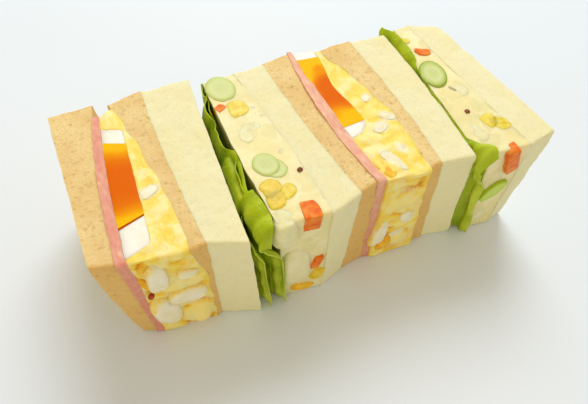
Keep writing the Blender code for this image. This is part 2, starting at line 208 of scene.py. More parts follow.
def handOver(piece, material, slot, *nodes):
    # a finished piece: its material, body and the nodes that it stands for; the slot is not used
    piece.data.materials.append(material)
    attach(piece, "root")
    if nodes:
        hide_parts(*nodes)


def selectParts(piece, kind, choose):
    # in edit mode, selects the edges or faces that a rule chooses
    bpy.context.tool_settings.mesh_select_mode = (False, kind == "edges", kind == "faces")
    body = bmesh.from_edit_mesh(piece.data)
    body.select_mode = {"EDGE" if kind == "edges" else "FACE"}
    for part in list(body.faces) + list(body.edges) + list(body.verts):
        part.select = False
    for part in getattr(body, kind):
        part.select = choose(part)
    body.select_flush_mode()
    bmesh.update_edit_mesh(piece.data)


def unitBlock(name, cuts):
    # a cube from 0 to 1, subdivided along each way
    restSelected()
    bpy.ops.mesh.primitive_cube_add(size=1.0, location=(0.5, 0.5, 0.5))
    block = named(name)
    bpy.ops.object.transform_apply(location=True, rotation=True, scale=True)
    bpy.ops.object.mode_set(mode="EDIT")
    for way in range(3):
        selectParts(block, "edges",
                    lambda edge: abs((edge.verts[1].co - edge.verts[0].co)[way]) > 0.9)
        bpy.ops.mesh.subdivide(number_cuts=cuts[way])
    bpy.ops.object.mode_set(mode="OBJECT")
    return block


def roundCorner(a, b, sizeA, sizeB, radius):
    # lays a point of a rectangle into the same rectangle with round corners
    innerA = min(max(a, radius), sizeA - radius)
    innerB = min(max(b, radius), sizeB - radius)
    da, db = a - innerA, b - innerB
    length = math.hypot(da, db)
    if length < 1e-9:
        return a, b
    keep = max(abs(da), abs(db)) / length
    return innerA + da * keep, innerB + db * keep


# where two layers differ from the rest: the second salad is tight against the bread up to
# its leaf's front lobe, and the second ham leans out and up a little at the cut
tightSalad = {"back": (14.0, 8.0), "front": (-32.0, -27.0), "gap": 1.2}
foldedHam = {"back": (21.0, 15.0), "front": (-8.0, 4.0), "top": (48.5, 50.5), "out": 0.3,
             "up": 0.5}


def layerSides(layerName, y, z, look):
    # x of a layer's two faces, and how far its top is folded up
    number = layerOf[layerName]
    left = edgeX(number, y, z) + rowShape["gap"] / 2.0 - look["grow"]
    right = edgeX(number + 1, y, z) - rowShape["gap"] / 2.0 + look["grow"]
    right += look["growRight"]
    fold = 0.0
    if layerName == "potato_salad_2":
        tight = smooth(y, *tightSalad["back"]) * smooth(y, *tightSalad["front"])
        left = mix(left, edgeX(layerOf["lettuce_2"], y, z) + tightSalad["gap"], tight)
    if layerName == "ham_2":
        fold = smooth(y, *foldedHam["back"]) * smooth(y, *foldedHam["front"])
        right += foldedHam["out"] * fold * smooth(z, *foldedHam["top"])
    return left, right, foldedHam["up"] * fold


def layerBlock(name, layerName, look, relief):
    # a subdivided block laid into its layer, with soft ends and its own surface relief;
    # relief takes the spot, the way out and how deep in it is, and gives a height in mm
    thickness, growth, back, front = layers[layerOf[layerName]][1:]
    height = rowShape["height"]
    block = unitBlock(name, (max(int(sum(thickness) / 3.0 / look["cell"]), 2),
                             int(2.0 * rowShape["halfLength"] / look["cell"]),
                             int(height / look["cell"])))
    heights = []
    ends = []
    for vert in block.data.vertices:
        u, v, w = vert.co
        onSide, onEnd, onFlat = (min(t, 1.0 - t) < 1e-4 for t in (u, v, w))
        rim = look["rim"] if onSide and (onEnd or onFlat) else 0.0
        low, high = mix(*front, u), mix(*back, u)
        y, z = roundCorner(v * (high - low), w * height, high - low, height, look["round"])
        if onEnd:
            y += rim if v < 0.5 else -rim
        if onFlat:
            z += rim if w < 0.5 else -rim
        y += low
        # closeness to the front and back ends, where the crumb gets its painted shade
        ends.append(smooth(min(y - low, high - y), rowShape["endShadeReach"], 0.0))
        left, right, fold = layerSides(layerName, y, z, look)
        left += rim
        right -= rim
        spot = Vector((mix(left, right, u), y, z))
        if onFlat and w > 0.5:
            spot.z += fold
        faces = (onSide and not (onEnd or onFlat), onEnd, onFlat)
        out = Vector([(1.0 if t > 0.5 else -1.0) * face for t, face in zip((u, v, w), faces)])
        out.normalize()
        rise = relief(spot, out, min(u, 1.0 - u) * (right - left))
        heights.append(rise)
        if onFlat and w < 0.5:
            rise = min(rise, 0.0) * rowShape["underShare"]
        spot += out * rise
        spot.z = max(spot.z, 0.0)
        vert.co = spot * mm
    storeValues(block.data, "relief", heights)
    storeValues(block.data, "nearEnd", ends)
    bpy.ops.object.shade_smooth_by_angle(angle=math.radians(48.0))
    return block


breadLook = {
    "cell": 0.8, "round": 1.1, "rim": 0.0, "grow": 0.26, "growRight": 0.0,
    "outerFaces": (-79.0, 70.0), "sway": 0.35, "swaySize": 9.0, "endSway": 1.8,
    "crag": 0.16, "cragSize": 2.2, "pit": 0.22, "pitSize": 2.6, "pitReach": (0.34, 0.14),
}


def breadRelief(spot, out, inside):
    # slow sway, rough crumb and the larger pores; faces inside the row stay plain
    look = breadLook
    if abs(out.x) > 0.5 and look["outerFaces"][0] < spot.x < look["outerFaces"][1]:
        return 0.0
    sway = look["sway"] * noise.noise(spot / look["swaySize"])
    crag = look["crag"] * noise.noise(spot / look["cragSize"] + Vector((5.0, 0.0, 0.0)))
    near = noise.voronoi(spot / look["pitSize"])[0][0]
    if abs(out.y) > 0.5:
        sway *= look["endSway"]
    return sway + crag - look["pit"] * smooth(near, *look["pitReach"])


def crumbMaterial(name, look):
    # soft wheat crumb: pale walls round fine pores, matt, with light going in a little; the pores
    # are painted darker, as painted shade in the holes
    material, add, place = newMaterial(name)
    drift = add("TexNoise", (place, every(3.846), 2.0))
    shift = add("VectorMath", (drift.outputs["Color"], (1.6 * mm,) * 3), operation="MULTIPLY")
    moved = add("VectorMath", (place, shift))
    pores = add("TexVoronoi", (moved, every(look["poreSize"])))
    where = add("TexNoise", (place, every(3.03), 3.0))
    size = add("MapRange", (where, 0.35, 0.65, 0.10, 0.52))
    pit = add("Math", (pores, size), operation="DIVIDE")
    pitEdge = add("MapRange", (pit, 0.45, 1.15), **eased)
    grain = add("TexNoise", (place, every(0.6667), 3.0, 0.7))
    broad = add("TexNoise", (place, every(11.11), 3.0))
    tone = add("ValToRGB", (grain,),
               ramp=[(0.30, look["dark"]), (0.52, look["base"]), (0.74, look["pale"])])
    patch = add("MapRange", (broad, 0.35, 0.7, 0.0, look["patches"]))
    warmed = add("Mix", (patch, tone, look["warm"]), **blend)
    # painted shade on the end faces: the crumb is darker and warmer near the front and back ends,
    # in uneven patches
    ends = add("Attribute", attribute_name="nearEnd").outputs["Fac"]
    uneven = add("Math", (broad, 0.7, ends), operation="MULTIPLY_ADD")
    endShadeShare = add("MapRange", (uneven, 0.6, 1.3, 0.0, 0.85), **eased)
    endShaded = add("Mix", (endShadeShare, warmed, look["endShade"]), **blend)
    spots = add("TexVoronoi", (moved, every(3.03)))
    chosen = add("SeparateColor", (spots.outputs["Color"],))
    rare = add("Math", (chosen, 0.72), operation="GREATER_THAN")
    dot = add("MapRange", (spots, 0.05, 0.28, look["flecks"], 0.0), **eased)
    fleck = add("Math", (rare, dot), operation="MULTIPLY")
    flecked = add("Mix", (fleck, endShaded, look["fleck"]), **blend)
    # painted shade in the pores: the crumb is darker where the holes are
    poreShadeShare = add("Math", (pitEdge, -look["poreShadeDepth"], look["poreShadeDepth"]), operation="MULTIPLY_ADD")
    colour = add("Mix", (poreShadeShare, flecked, look["poreShade"]), **blend)
    relief = add("Math", (grain, 0.45, pitEdge), operation="MULTIPLY_ADD")
    return surface(material, colour, relief, look)


crumbFinish = {"rough": 0.88, "ior": 1.4, "gloss": 0.25, "soft": (0.25, (1.0, 0.8, 0.5), 2.0)}
# the darker, warmer end tone of each crumb is painted shade on the end faces
crumbs = {
    # the pore tone of each crumb is painted shade in the holes
    "brown_bread": crumbMaterial("wheatCrumbBrown", {
        **crumbFinish, "base": "EDD69A", "dark": "E1C689", "pale": "F6E6B6", "warm": "E2C384",
        "poreShade": "CEAA6C", "endShade": "E3BA6E", "fleck": "B88A4C", "flecks": 0.55,
        "poreShadeDepth": 0.36, "patches": 0.85, "poreSize": 1.7, "bump": (0.38, 0.4)}),
    "white_bread": crumbMaterial("wheatCrumbWhite", {
        **crumbFinish, "base": "EFEEC6", "dark": "EAE7BA", "pale": "F4F3D4", "warm": "EEE8B2",
        "poreShade": "E0DCAC", "endShade": "EDEABC", "fleck": "D8D4A2", "flecks": 0.2,
        "poreShadeDepth": 0.2, "patches": 0.7, "poreSize": 1.5, "bump": (0.22, 0.4)}),
}
for node in [layer[0] for layer in layers if "bread" in layer[0]]:
    slicePiece = layerBlock(node.replace("_", "") + "Crumb", node, breadLook, breadRelief)
    kind = node[:-2]
    handOver(slicePiece, crumbs[kind], kind, node)
print("bread slices made")

# ham: moist cured slices, folded a little where they meet the cut
hamLook = {
    "cell": 0.75, "round": 0.7, "rim": 0.036, "grow": 0.24, "growRight": 0.0,
    "sway": 0.45, "swaySize": 11.0, "swayAcross": 0.02, "ripple": 0.22, "rippleSize": 3.0,
    "topShare": 0.6, "topRise": 0.4,
}


def hamRelief(spot, out, inside):
    # a slow sway along the slice and short ripples, stood up a little at the cut
    look = hamLook
    if abs(out.x) > 0.5:
        return 0.0
    flat = Vector((spot.x * look["swayAcross"], spot.y, spot.z))
    rise = look["sway"] * noise.noise(flat / look["swaySize"])
    rise += look["ripple"] * noise.noise(spot / look["rippleSize"])
    return rise * (look["topShare"] if out.z > 0.5 else 1.0) + look["topRise"] * out.z


def hamMaterial(name, look):
    # cooked ham: pale rose meat with fine paler fibres, a wet film on top
    material, add, place = newMaterial(name)
    stretch = add("Mapping", {"Vector": place, "Scale": (1.0, 0.35, 0.5)})
    fibres = add("TexNoise", (stretch, every(1.111), 4.0, 0.6))
    patches = add("TexNoise", (place, every(8.333), 2.0))
    meat = add("ValToRGB", (fibres,),
               ramp=[(0.30, look["dark"]), (0.55, look["base"]), (0.75, look["pale"])])
    # painted shade: the meat is darker and redder towards the bottom
    level = add("SeparateXYZ", (place,)).outputs["Z"]
    low = add("MapRange", (level, 20.0 * mm, 51.0 * mm, 0.42, 0.0))
    shadedBelow = add("Mix", (low, meat, "CE7A62"), **blend)
    blush = add("MapRange", (patches, 0.42, 0.68, 0.0, look["blush"]))
    colour = add("Mix", (blush, shadedBelow, "DC8672"), **blend)
    return surface(material, colour, fibres, look)


hamFinish = {"bump": (0.25, 0.3), "rough": 0.42, "ior": 1.4, "gloss": 0.3,
             "soft": (0.35, (1.0, 0.4, 0.3), 2.0)}
hams = {
    "ham_1": hamMaterial("curedHamRose", {**hamFinish, "dark": "DE9280", "base": "E8AA93",
                         "pale": "F1C6AE", "blush": 0.35}),
    "ham_2": hamMaterial("curedHamPale", {**hamFinish, "dark": "E2A088", "base": "ECB89C",
                         "pale": "F4D0B4", "blush": 0.18}),
}
for node, curedHam in hams.items():
    hamPiece = layerBlock(node.replace("_", "") + "Slice", node, hamLook, hamRelief)
    handOver(hamPiece, curedHam, "ham", node)
print("ham made")


# sliced boiled egg, cut through: a half round of white with its yolk, beside the ham.
# thickness and taper are at the two ends; core is the deep orange middle of the yolk
# the last value of each is the strength of the painted shadow line along the front of the yolk's
# rim
eggLook = {
    "1": {"layer": "egg_salad_1", "centre": -3.0, "half": 24.4, "yolkCentre": -1.0,
          "yolkHalf": 16.6, "thickness": (6.6, 8.0), "limit": 60.0, "nose": 0.8,
          "taper": (0.09, 0.15), "core": -1.2, "coreHalf": 18.0, "coreShare": (0.5, 0.5),
          "coreReach": (0.0, 0.0), "slant": 0.9, "wander": 0.06, "hollow": 0.0, "shadowLine": 14.0},
    "2": {"layer": "egg_salad_2", "centre": 11.6, "half": 22.2, "yolkCentre": 12.3,
          "yolkHalf": 17.7, "thickness": (8.6, 8.2), "limit": 33.4, "nose": 4.2,
          "taper": (0.04, 0.04), "core": 12.4, "coreHalf": 18.2, "coreShare": (0.5, 0.8),
          "coreReach": (0.35, 0.95), "slant": 0.9, "wander": 0.2, "hollow": 2.3, "shadowLine": 0.0},
}
# depth below the cut, height above it, swell past the white's faces and width of the rim
eggParts = {
    "white": {"centre": "centre", "half": "half", "taper": 0, "depth": 22.0, "above": 0.25,
              "swell": 0.0, "rim": 0.5},
    "yolk": {"centre": "yolkCentre", "half": "yolkHalf", "taper": 1, "depth": 15.3,
             "above": 0.4, "swell": 0.03, "rim": 0.3},
}
# reach of the nose and the hollow, and the yolk's tones from core to rim and its painted shadow
# line
eggFit = {
    "offHam": 0.1, "noseReach": 6.5, "hollowReach": 9.0, "hollowShift": 2.0, "leftReach": 3.0,
    "coreAlong": (4.0, 20.0), "wanderSize": 5.0, "rimTone": 0.93, "shadowLineFrom": 0.895,
}
farOff = 9.0


def eggSides(look, y, z):
    # x of the slice's left and right face
    layer = layerOf[look["layer"]]
    height = rowShape["height"]
    frontEnd = look["centre"] - look["half"]
    backEnd = min(look["centre"] + look["half"], look["limit"])
    atFront = edgeX(layer, frontEnd, height) + look["thickness"][1]
    atBack = edgeX(layer, backEnd, height) + look["thickness"][0]
    lean = (edgeX(layer, look["centre"], 0.0) - edgeX(layer, look["centre"], height)) / height
    across = mix(atFront, atBack, (y - frontEnd) / (backEnd - frontEnd))
    across -= look["nose"] * smooth(y, frontEnd + eggFit["noseReach"], frontEnd) ** 1.5
    away = y - look["centre"] - eggFit["hollowShift"]
    across -= look["hollow"] * math.exp(-(away / eggFit["hollowReach"]) ** 2)
    return edgeX(layer, y, z) + eggFit["offHam"], across + lean * (height - z)


def insideEgg(spot):
    # how far in mm a spot of the filling's cut lies inside the outline of an egg slice
    inside = -farOff
    for look in eggLook.values():
        left, right = eggSides(look, spot.y, spot.z)
        share = (spot.x - left) / (right - left)
        half = look["half"] * (1.0 - look["taper"][0] * share)
        ends = half - abs(spot.y - look["centre"])
        inside = max(inside, min(ends, look["limit"] - spot.y, right - spot.x,
                                 spot.x - left + eggFit["leftReach"]))
    return inside


# chopped egg white in the filling: centre, half sizes and turns in degrees
eggWhiteBits = {
    "1": [((-58.9, -7.4, 50.4), (4.2, 2.1, 2.5), (4, -3, 24)),
          ((-64.8, -29.0, 41.6), (3.5, 3.5, 8.4), (0, -2, 0)),
          ((-55.6, -29.6, 39.8), (3.6, 2.8, 2.3), (0, 8, 0)),
          ((-56.0, -29.4, 25.8), (7.2, 3.4, 4.4), (0, 14, 0)),
          ((-63.2, -28.8, 18.4), (4.9, 4.2, 9.6), (0, -6, 0)),
          ((-59.5, 26.0, 38.0), (2.8, 2.6, 4.4), (0, 15, 0)),
          ((-55.0, 26.0, 24.0), (4.4, 2.8, 3.4), (0, -15, 0)),
          ((-60.0, 25.8, 12.0), (4.4, 2.8, 4.8), (0, 30, 0))],
    "2": [((27.0, -5.6, 50.5), (4.0, 2.0, 2.4), (0, 0, -35)),
          ((22.2, -9.4, 50.5), (3.6, 2.6, 2.4), (0, 0, 15)),
          ((18.6, -23.6, 50.5), (2.1, 6.6, 2.6), (3, 0, 24)),
          ((24.0, -20.0, 50.4), (2.0, 3.6, 2.4), (0, 0, 20)),
          ((24.2, 4.6, 50.6), (2.2, 1.8, 2.2), (0, 0, 40)),
          ((17.6, -29.2, 18.2), (3.2, 3.7, 9.0), (0, 4, 0)),
          ((27.4, -29.7, 25.0), (3.4, 3.0, 4.8), (0, -20, 0)),
          ((26.4, -29.6, 14.6), (4.2, 2.4, 2.4), (0, -14, 0)),
          ((21.6, -28.8, 6.0), (4.0, 2.6, 3.2), (0, 20, 0)),
          ((17.0, 30.6, 20.0), (4.0, 2.8, 5.6), (0, 12, 0)),
          ((12.6, 31.4, 36.0), (2.8, 2.4, 4.0), (0, 0, 0))],
}


def turned(turns):
    return Euler([math.radians(t) for t in turns]).to_matrix()


def nearWhite(number, spot):
    # 1 on the chopped whites of a filling, fading out in the mash round them
    near = 0.0
    for centre, half, turns in eggWhiteBits[number]:
        away = spot - Vector(centre)
        if max(abs(t) for t in away) < farOff:
            away = turned(turns).transposed() @ away
            reach = math.sqrt(sum((away[n] / (half[n] + 0.5)) ** 2 for n in range(3)))
            near = max(near, smooth(reach, 1.22, 0.77))
    return near


# egg salad: mashed yolk and dressing, creased between its lumps
mashLook = {
    "cell": 0.62, "round": 1.3, "rim": 0.036, "grow": 0.24, "growRight": 0.0, "lump": 0.945,
    "lumpSize": 5.0, "curd": 0.315, "curdSize": 2.3, "grain": 0.14, "grainSize": 0.9,
    "topShare": 0.52, "topRise": 0.15, "endShare": 0.6, "endSway": 0.8, "endSwaySize": 8.0,
    "stretch": (0.72, 0.8, 1.0), "stir": 0.8, "stirSize": 4.0, "edge": 2.4,
    # over the egg slice: where it laps on, its height there, and where it sinks away
    "lap": (-1.6, -0.4), "lapRise": 0.30, "lapSway": 0.08, "lapSwaySize": 1.5,
    "sink": (-0.1, 1.5), "sinkDepth": -2.0,
    # the furrow round a lump of the front: its share of the height, place and width
    "furrow": (0.3, 1.5, 0.3),
}
# lumps that push out of the filling's front: x, z, height and half widths
frontLumps = [(-52.4, 9.4, 3.2, (4.6, 5.6)), (-64.6, 43.0, 0.5, (4.0, 7.0)),
              (-62.4, 18.6, 0.8, (5.0, 7.0)), (27.4, 10.0, 1.6, (3.6, 4.0)),
              (22.6, 36.0, 0.9, (5.0, 5.0))]


def billow(spot, size, shift):
    # rounded swellings with creases between them, about -0.5 to 1
    return 2.4 * abs(noise.noise(spot / size + Vector((shift, 0.0, 0.0)))) - 0.5


def dome(spot, size, shift):
    # rounded cells with creases between them, from 0 to 1
    near = noise.voronoi(spot / size + Vector((shift, 0.0, 0.0)))[0][0]
    return max(0.0, 1.0 - (near / 0.78) ** 2)


def mashRelief(spot, out, inside):
    # lumps and curds; they end at the egg slice and swell at the front
    look = mashLook
    if abs(out.x) > 0.5:
        return 0.0
    bent = Vector([t * share for t, share in zip(spot, look["stretch"])])
    bent += look["stir"] * noise.noise_vector(spot / look["stirSize"])
    rise = look["lump"] * billow(bent, look["lumpSize"], 3.0)
    rise += look["curd"] * billow(bent, look["curdSize"], 9.0)
    rise += look["grain"] * noise.noise(spot / look["grainSize"])
    if out.z > 0.9:
        under = insideEgg(spot)
        rise = rise * look["topShare"] + look["topRise"]
        lap = look["lapRise"] + look["lapSway"] * noise.noise(spot / look["lapSwaySize"])
        rise = max(rise, smooth(under, *look["lap"]) * lap)
        rise = mix(rise, look["sinkDepth"], smooth(under, *look["sink"]))
    elif abs(out.y) > 0.5:
        rise = look["endShare"] * rise + look["endSway"] * noise.noise(spot / look["endSwaySize"])
        depth, place, width = look["furrow"]
        for x, z, height, half in frontLumps if out.y < 0.0 else []:
            away = ((spot.x - x) / half[0]) ** 2 + ((spot.z - z) / half[1]) ** 2
            furrow = math.exp(-((math.sqrt(away) - place) / width) ** 2)
            rise += height * (math.exp(-away) - depth * furrow)
    return rise * (0.2 + 0.8 * smooth(inside, 0.0, look["edge"]))


def mashMaterial():
    # egg mashed with dressing: opaque bright yellow with creamy patches; painted shade makes the
    # creases amber and painted light makes the lumps paler
    material, add, place = newMaterial("eggMash")
    height = add("Attribute", attribute_name="relief").outputs["Fac"]
    broad = add("TexNoise", (place, every(6.667), 3.0, 0.55))
    fine = add("TexNoise", (place, every(0.909), 3.0))
    # painted light and shade: the tone follows the relief, amber low in the creases and pale on
    # the lumps
    level = add("Math", (fine, 0.5, height), operation="MULTIPLY_ADD")
    creaseShade = add("MapRange", (level, -0.35, 0.75))
    tone = add("ValToRGB", (creaseShade,),
               ramp=[(0.0, "D9961A"), (0.12, "EFB422"), (0.34, "F9D23A"), (0.7, "FBE268"), (1.0,
               "FCEA90")])
    cream = add("MapRange", (broad, 0.47, 0.62, 0.0, 0.75), **eased)
    # less cream towards the front
    along = add("SeparateXYZ", (place,)).outputs["Y"]
    ripe = add("MapRange", (along, -34.0 * mm, -29.0 * mm, 0.4, 1.0), **eased)
    share = add("Math", (cream, ripe), operation="MULTIPLY")
    colour = add("Mix", (share, tone, "FBF2B4"), **blend)
    # paler round the chopped whites
    white = add("Attribute", attribute_name="pale").outputs["Fac"]
    smear = add("Math", (fine, 0.5, white), operation="MULTIPLY_ADD")
    bare = add("MapRange", (smear, 0.45, 1.15, 0.0, 0.9), **eased)
    blended = add("Mix", (bare, colour, "F6F1CE"), **blend)
    return surface(material, blended, fine, {"bump": (0.35, 0.4), "rough": 0.42, "ior": 1.45,
                   "gloss": 0.3, "soft": (0.3, (1.0, 0.6, 0.12), 2.0)})


eggMash = mashMaterial()
for node in ("egg_salad_1", "egg_salad_2"):
    mashPiece = layerBlock(node.replace("_", "") + "Mash", node, mashLook, mashRelief)
    storeValues(mashPiece.data, "pale", [nearWhite(node[-1], vert.co / mm)
                                         for vert in mashPiece.data.vertices])
    handOver(mashPiece, eggMash, "egg_salad", node)
print("egg salad made")


def softenEdges(piece, width, limit, angle=0.0):
    # rounds the edges of the active piece
    soften = piece.modifiers.new("softEdge", "BEVEL")
    soften.width = width
    soften.segments = 3
    soften.limit_method = limit
    soften.angle_limit = math.radians(angle)
    bpy.ops.object.modifier_apply(modifier=soften.name)


def cutThrough(spot, way, takeOff=False):
    # in edit mode, a cut across the whole piece, which can take off and close one side
    bpy.ops.mesh.select_all(action="SELECT")
    bpy.ops.mesh.bisect(plane_co=spot, plane_no=way, use_fill=takeOff, clear_outer=takeOff)


def facesOutward():
    bpy.ops.mesh.select_all(action="SELECT")
    bpy.ops.mesh.normals_make_consistent(inside=False)
    bpy.ops.object.mode_set(mode="OBJECT")


def halfRound(name, look, part):
    # half a round standing on its curve, cut flat at the top, its rims softened
    shape = eggParts[part]
    restSelected()
    bpy.ops.mesh.primitive_cylinder_add(vertices=128, radius=1.0, depth=1.0,
                                        rotation=(0.0, math.pi / 2.0, 0.0), end_fill_type="NGON")
    piece = named(name)
    bpy.ops.object.transform_apply(location=True, rotation=True, scale=True)
    bpy.ops.object.mode_set(mode="EDIT")
    cutThrough((0.0, 0.0, 0.0), (0.0, 0.0, 1.0), True)
    for cut in range(1, 40):
        cutThrough((0.0, cut / 20.0 - 1.0, 0.0), (0.0, 1.0, 0.0))
    for cut in (-0.25, 0.0, 0.25):
        cutThrough((cut, 0.0, 0.0), (1.0, 0.0, 0.0))
    bpy.ops.object.mode_set(mode="OBJECT")
    for vert in piece.data.vertices:
        u, v, w = vert.co
        narrow = 1.0 - look["taper"][shape["taper"]] * (u + 0.5)
        y = min(look[shape["centre"]] + v * look[shape["half"]] * narrow, look["limit"])
        z = rowShape["height"] + shape["above"] + w * shape["depth"] * narrow
        left, right = eggSides(look, y, z)
        x = mix(left - shape["swell"], right + shape["swell"], u + 0.5)
        vert.co = Vector((x, y, z)) * mm
    softenEdges(piece, shape["rim"] * mm, "ANGLE", 35.0)
    bpy.ops.object.mode_set(mode="EDIT")
    bpy.ops.mesh.select_all(action="SELECT")
    bpy.ops.mesh.remove_doubles(threshold=0.002 * mm)
    facesOutward()
    bpy.ops.object.shade_smooth_by_angle(angle=math.radians(40.0))
    return piece


def yolkOutward(look, spot):
    # how far out in the yolk a spot lies: 0 in the core, more to the rim, most on a painted
    # shadow line along its front
    left, right = eggSides(look, spot.y, spot.z)
    across = (spot.x - left) / (right - left)
    back = smooth(spot.y, *eggFit["coreAlong"])
    share = across - mix(*look["coreShare"], back)
    along = (spot.y - look["core"] + look["slant"] * share) / look["coreHalf"]
    down = (rowShape["height"] - spot.z) / eggParts["yolk"]["depth"]
    beside = share * mix(*look["coreReach"], back)
    far = math.hypot(math.hypot(along, down), beside)
    far += look["wander"] * noise.noise(spot / eggFit["wanderSize"])
    half = look["yolkHalf"] * (1.0 - look["taper"][1] * across)
    rim = abs(spot.y - look["yolkCentre"]) / half
    # painted shadow: a thin dark line along the front of the rim, where the yolk stands a little
    # above the white
    shadowLine = (rim - eggFit["shadowLineFrom"]) * look["shadowLine"] if spot.y < look["core"] else 0.0
    return max(min(far, eggFit["rimTone"]), shadowLine)


def eggWhiteMaterial():
    # boiled egg white: firm, smooth and slightly see-through jelly, cut wet
    material, add, place = newMaterial("boiledEggWhite")
    cloud = add("TexNoise", (place, every(3.846), 3.0))
    tone = add("ValToRGB", (cloud,), ramp=[(0.30, "F3EEDB"), (0.52, "F9F6EA"), (0.75, "FDFCF6")])
    fine = add("TexNoise", (place, every(1.111), 2.0))
    return surface(material, tone, fine, {"bump": (0.12, 0.3), "rough": 0.28, "ior": 1.37,
                   "gloss": 0.5, "soft": (0.5, (1.0, 0.9, 0.75), 3.0)})


def yolkMaterial():
    # half-set yolk: deep orange and moist in the middle, amber and firmer to its rim, with a
    # painted shadow line at its front
    material, add, place = newMaterial("halfSetYolk")
    out = add("Attribute", attribute_name="outward").outputs["Fac"]
    grain = add("TexNoise", (place, every(0.7692), 3.0))
    spread = add("Math", (grain, 0.05, out), operation="MULTIPLY_ADD")
    # the last, dark stop is the painted shadow line
    tone = add("ValToRGB", (spread,),
               ramp=[(0.30, "E26A00"), (0.50, "E67A00"), (0.64, "EE9A00"), (0.76, "F7C20A"),
               (0.96, "F6C414"), (1.0, "B65200")])
    return surface(material, tone, grain, {"bump": (0.2, 0.3), "rough": 0.5, "ior": 1.4,
                   "gloss": 0.06, "soft": (0.15, (1.0, 0.3, 0.05), 1.5)})


boiledWhite = eggWhiteMaterial()
setYolk = yolkMaterial()
for number, look in eggLook.items():
    white = halfRound("boiledWhite" + number, look, "white")
    handOver(white, boiledWhite, "egg_white", "egg_white_" + number)
    yolk = halfRound("boiledYolk" + number, look, "yolk")
    storeValues(yolk.data, "outward", [yolkOutward(look, vert.co / mm)
                                       for vert in yolk.data.vertices])
    handOver(yolk, setYolk, "egg_yolk", "egg_yolk_" + number)
print("egg slices made")


# potato salad: smooth dressing over soft potato
saladLook = {
    "cell": 0.72, "round": 1.2, "rim": 0.0, "grow": 0.26, "growRight": 0.3, "lump": 0.30,
    "lumpSize": 6.0, "curd": 0.12, "curdSize": 2.2, "grain": 0.06, "grainSize": 0.8,
    "stir": 0.9, "stirSize": 3.5, "frontShare": 2.0, "edge": 2.0,
}


def saladRelief(spot, out, inside):
    # low rounded cells, stronger on the front
    look = saladLook
    if abs(out.x) > 0.5:
        return 0.0
    bent = spot + look["stir"] * noise.noise_vector(spot / look["stirSize"])
    rise = look["lump"] * (dome(bent, look["lumpSize"], 1.0) - 0.62)
    rise += look["curd"] * (dome(bent, look["curdSize"], 5.0) - 0.62)
    rise += look["grain"] * noise.noise(spot / look["grainSize"])
    if out.y < -0.5:
        rise *= look["frontShare"]
    within = smooth(inside, 0.0, look["edge"])
    return rise * (0.3 + 0.7 * within) - 0.1 * within


def saladMaterial():
    # potato mashed with dressing: cream, with duller see-through bits of potato in it
    material, add, place = newMaterial("potatoMash")
    drift = add("TexNoise", (place, every(3.333), 2.0))
    shift = add("VectorMath", (drift.outputs["Color"], (3.0 * mm,) * 3), operation="MULTIPLY")
    moved = add("VectorMath", (place, shift))
    cells = add("TexVoronoi", {"Vector": moved, "Scale": every(6.25), "Smoothness": 0.3},
                feature="SMOOTH_F1")
    pick = add("SeparateColor", (cells.outputs["Color"],))
    tone = add("ValToRGB", (pick,),
               ramp=[(0.15, "EAE3A8"), (0.45, "F1EAB2"), (0.72, "F4EFBE"), (0.92, "E8E2A6")])
    fine = add("TexNoise", (place, every(1.0), 3.0))
    yellow = add("TexNoise", (place, every(13.33), 2.0))
    warm = add("MapRange", (yellow, 0.45, 0.7, 0.0, 0.5))
    colour = add("Mix", (warm, tone, "F4E69C"), **blend)
    return surface(material, colour, fine, {"bump": (0.25, 0.4), "rough": 0.5, "ior": 1.45,
                   "gloss": 0.5, "soft": (0.35, (1.0, 0.85, 0.5), 2.5)})


potatoMash = saladMaterial()
for node in ("potato_salad_1", "potato_salad_2"):
    saladPiece = layerBlock(node.replace("_", "") + "Mash", node, saladLook, saladRelief)
    handOver(saladPiece, potatoMash, "potato_salad", node)
print("potato salad made")


def chunkShape(name, seed):
    # a cube of side 2 with two corners cut off, its edges rounded
    dice = random.Random(seed)
    restSelected()
    bpy.ops.mesh.primitive_cube_add(size=2.0)
    chunk = named(name)
    bpy.ops.object.mode_set(mode="EDIT")
    for cut in range(2):
        way = Vector([dice.choice((-1, 1)) * dice.uniform(0.4, 1.0) for axis in range(3)])
        way.normalize()
        cutThrough(way * dice.uniform(1.1, 1.35), way, True)
    bpy.ops.object.mode_set(mode="OBJECT")
    softenEdges(chunk, 0.2, "NONE")
    return chunk


def lumpShape(name, seed):
    # a ball pressed towards a box, with slow dents
    power, sway = 2.7, 0.16
    restSelected()
    bpy.ops.mesh.primitive_ico_sphere_add(subdivisions=4, radius=1.0)
    lump = named(name)
    for vert in lump.data.vertices:
        way = vert.co.normalized()
        reach = sum(abs(v) ** power for v in way) ** (-1.0 / power)
        dent = sway * noise.noise(way * 1.3 + Vector((seed * 3.1, 0.0, 0.0)))
        vert.co = way * reach * (1.0 + dent)
    for name, side in (("outAbove", 1), ("outFront", 2)):
        storeValues(lump.data, name, [math.hypot(vert.co.x, vert.co[side])
                                      for vert in lump.data.vertices])
    return lump


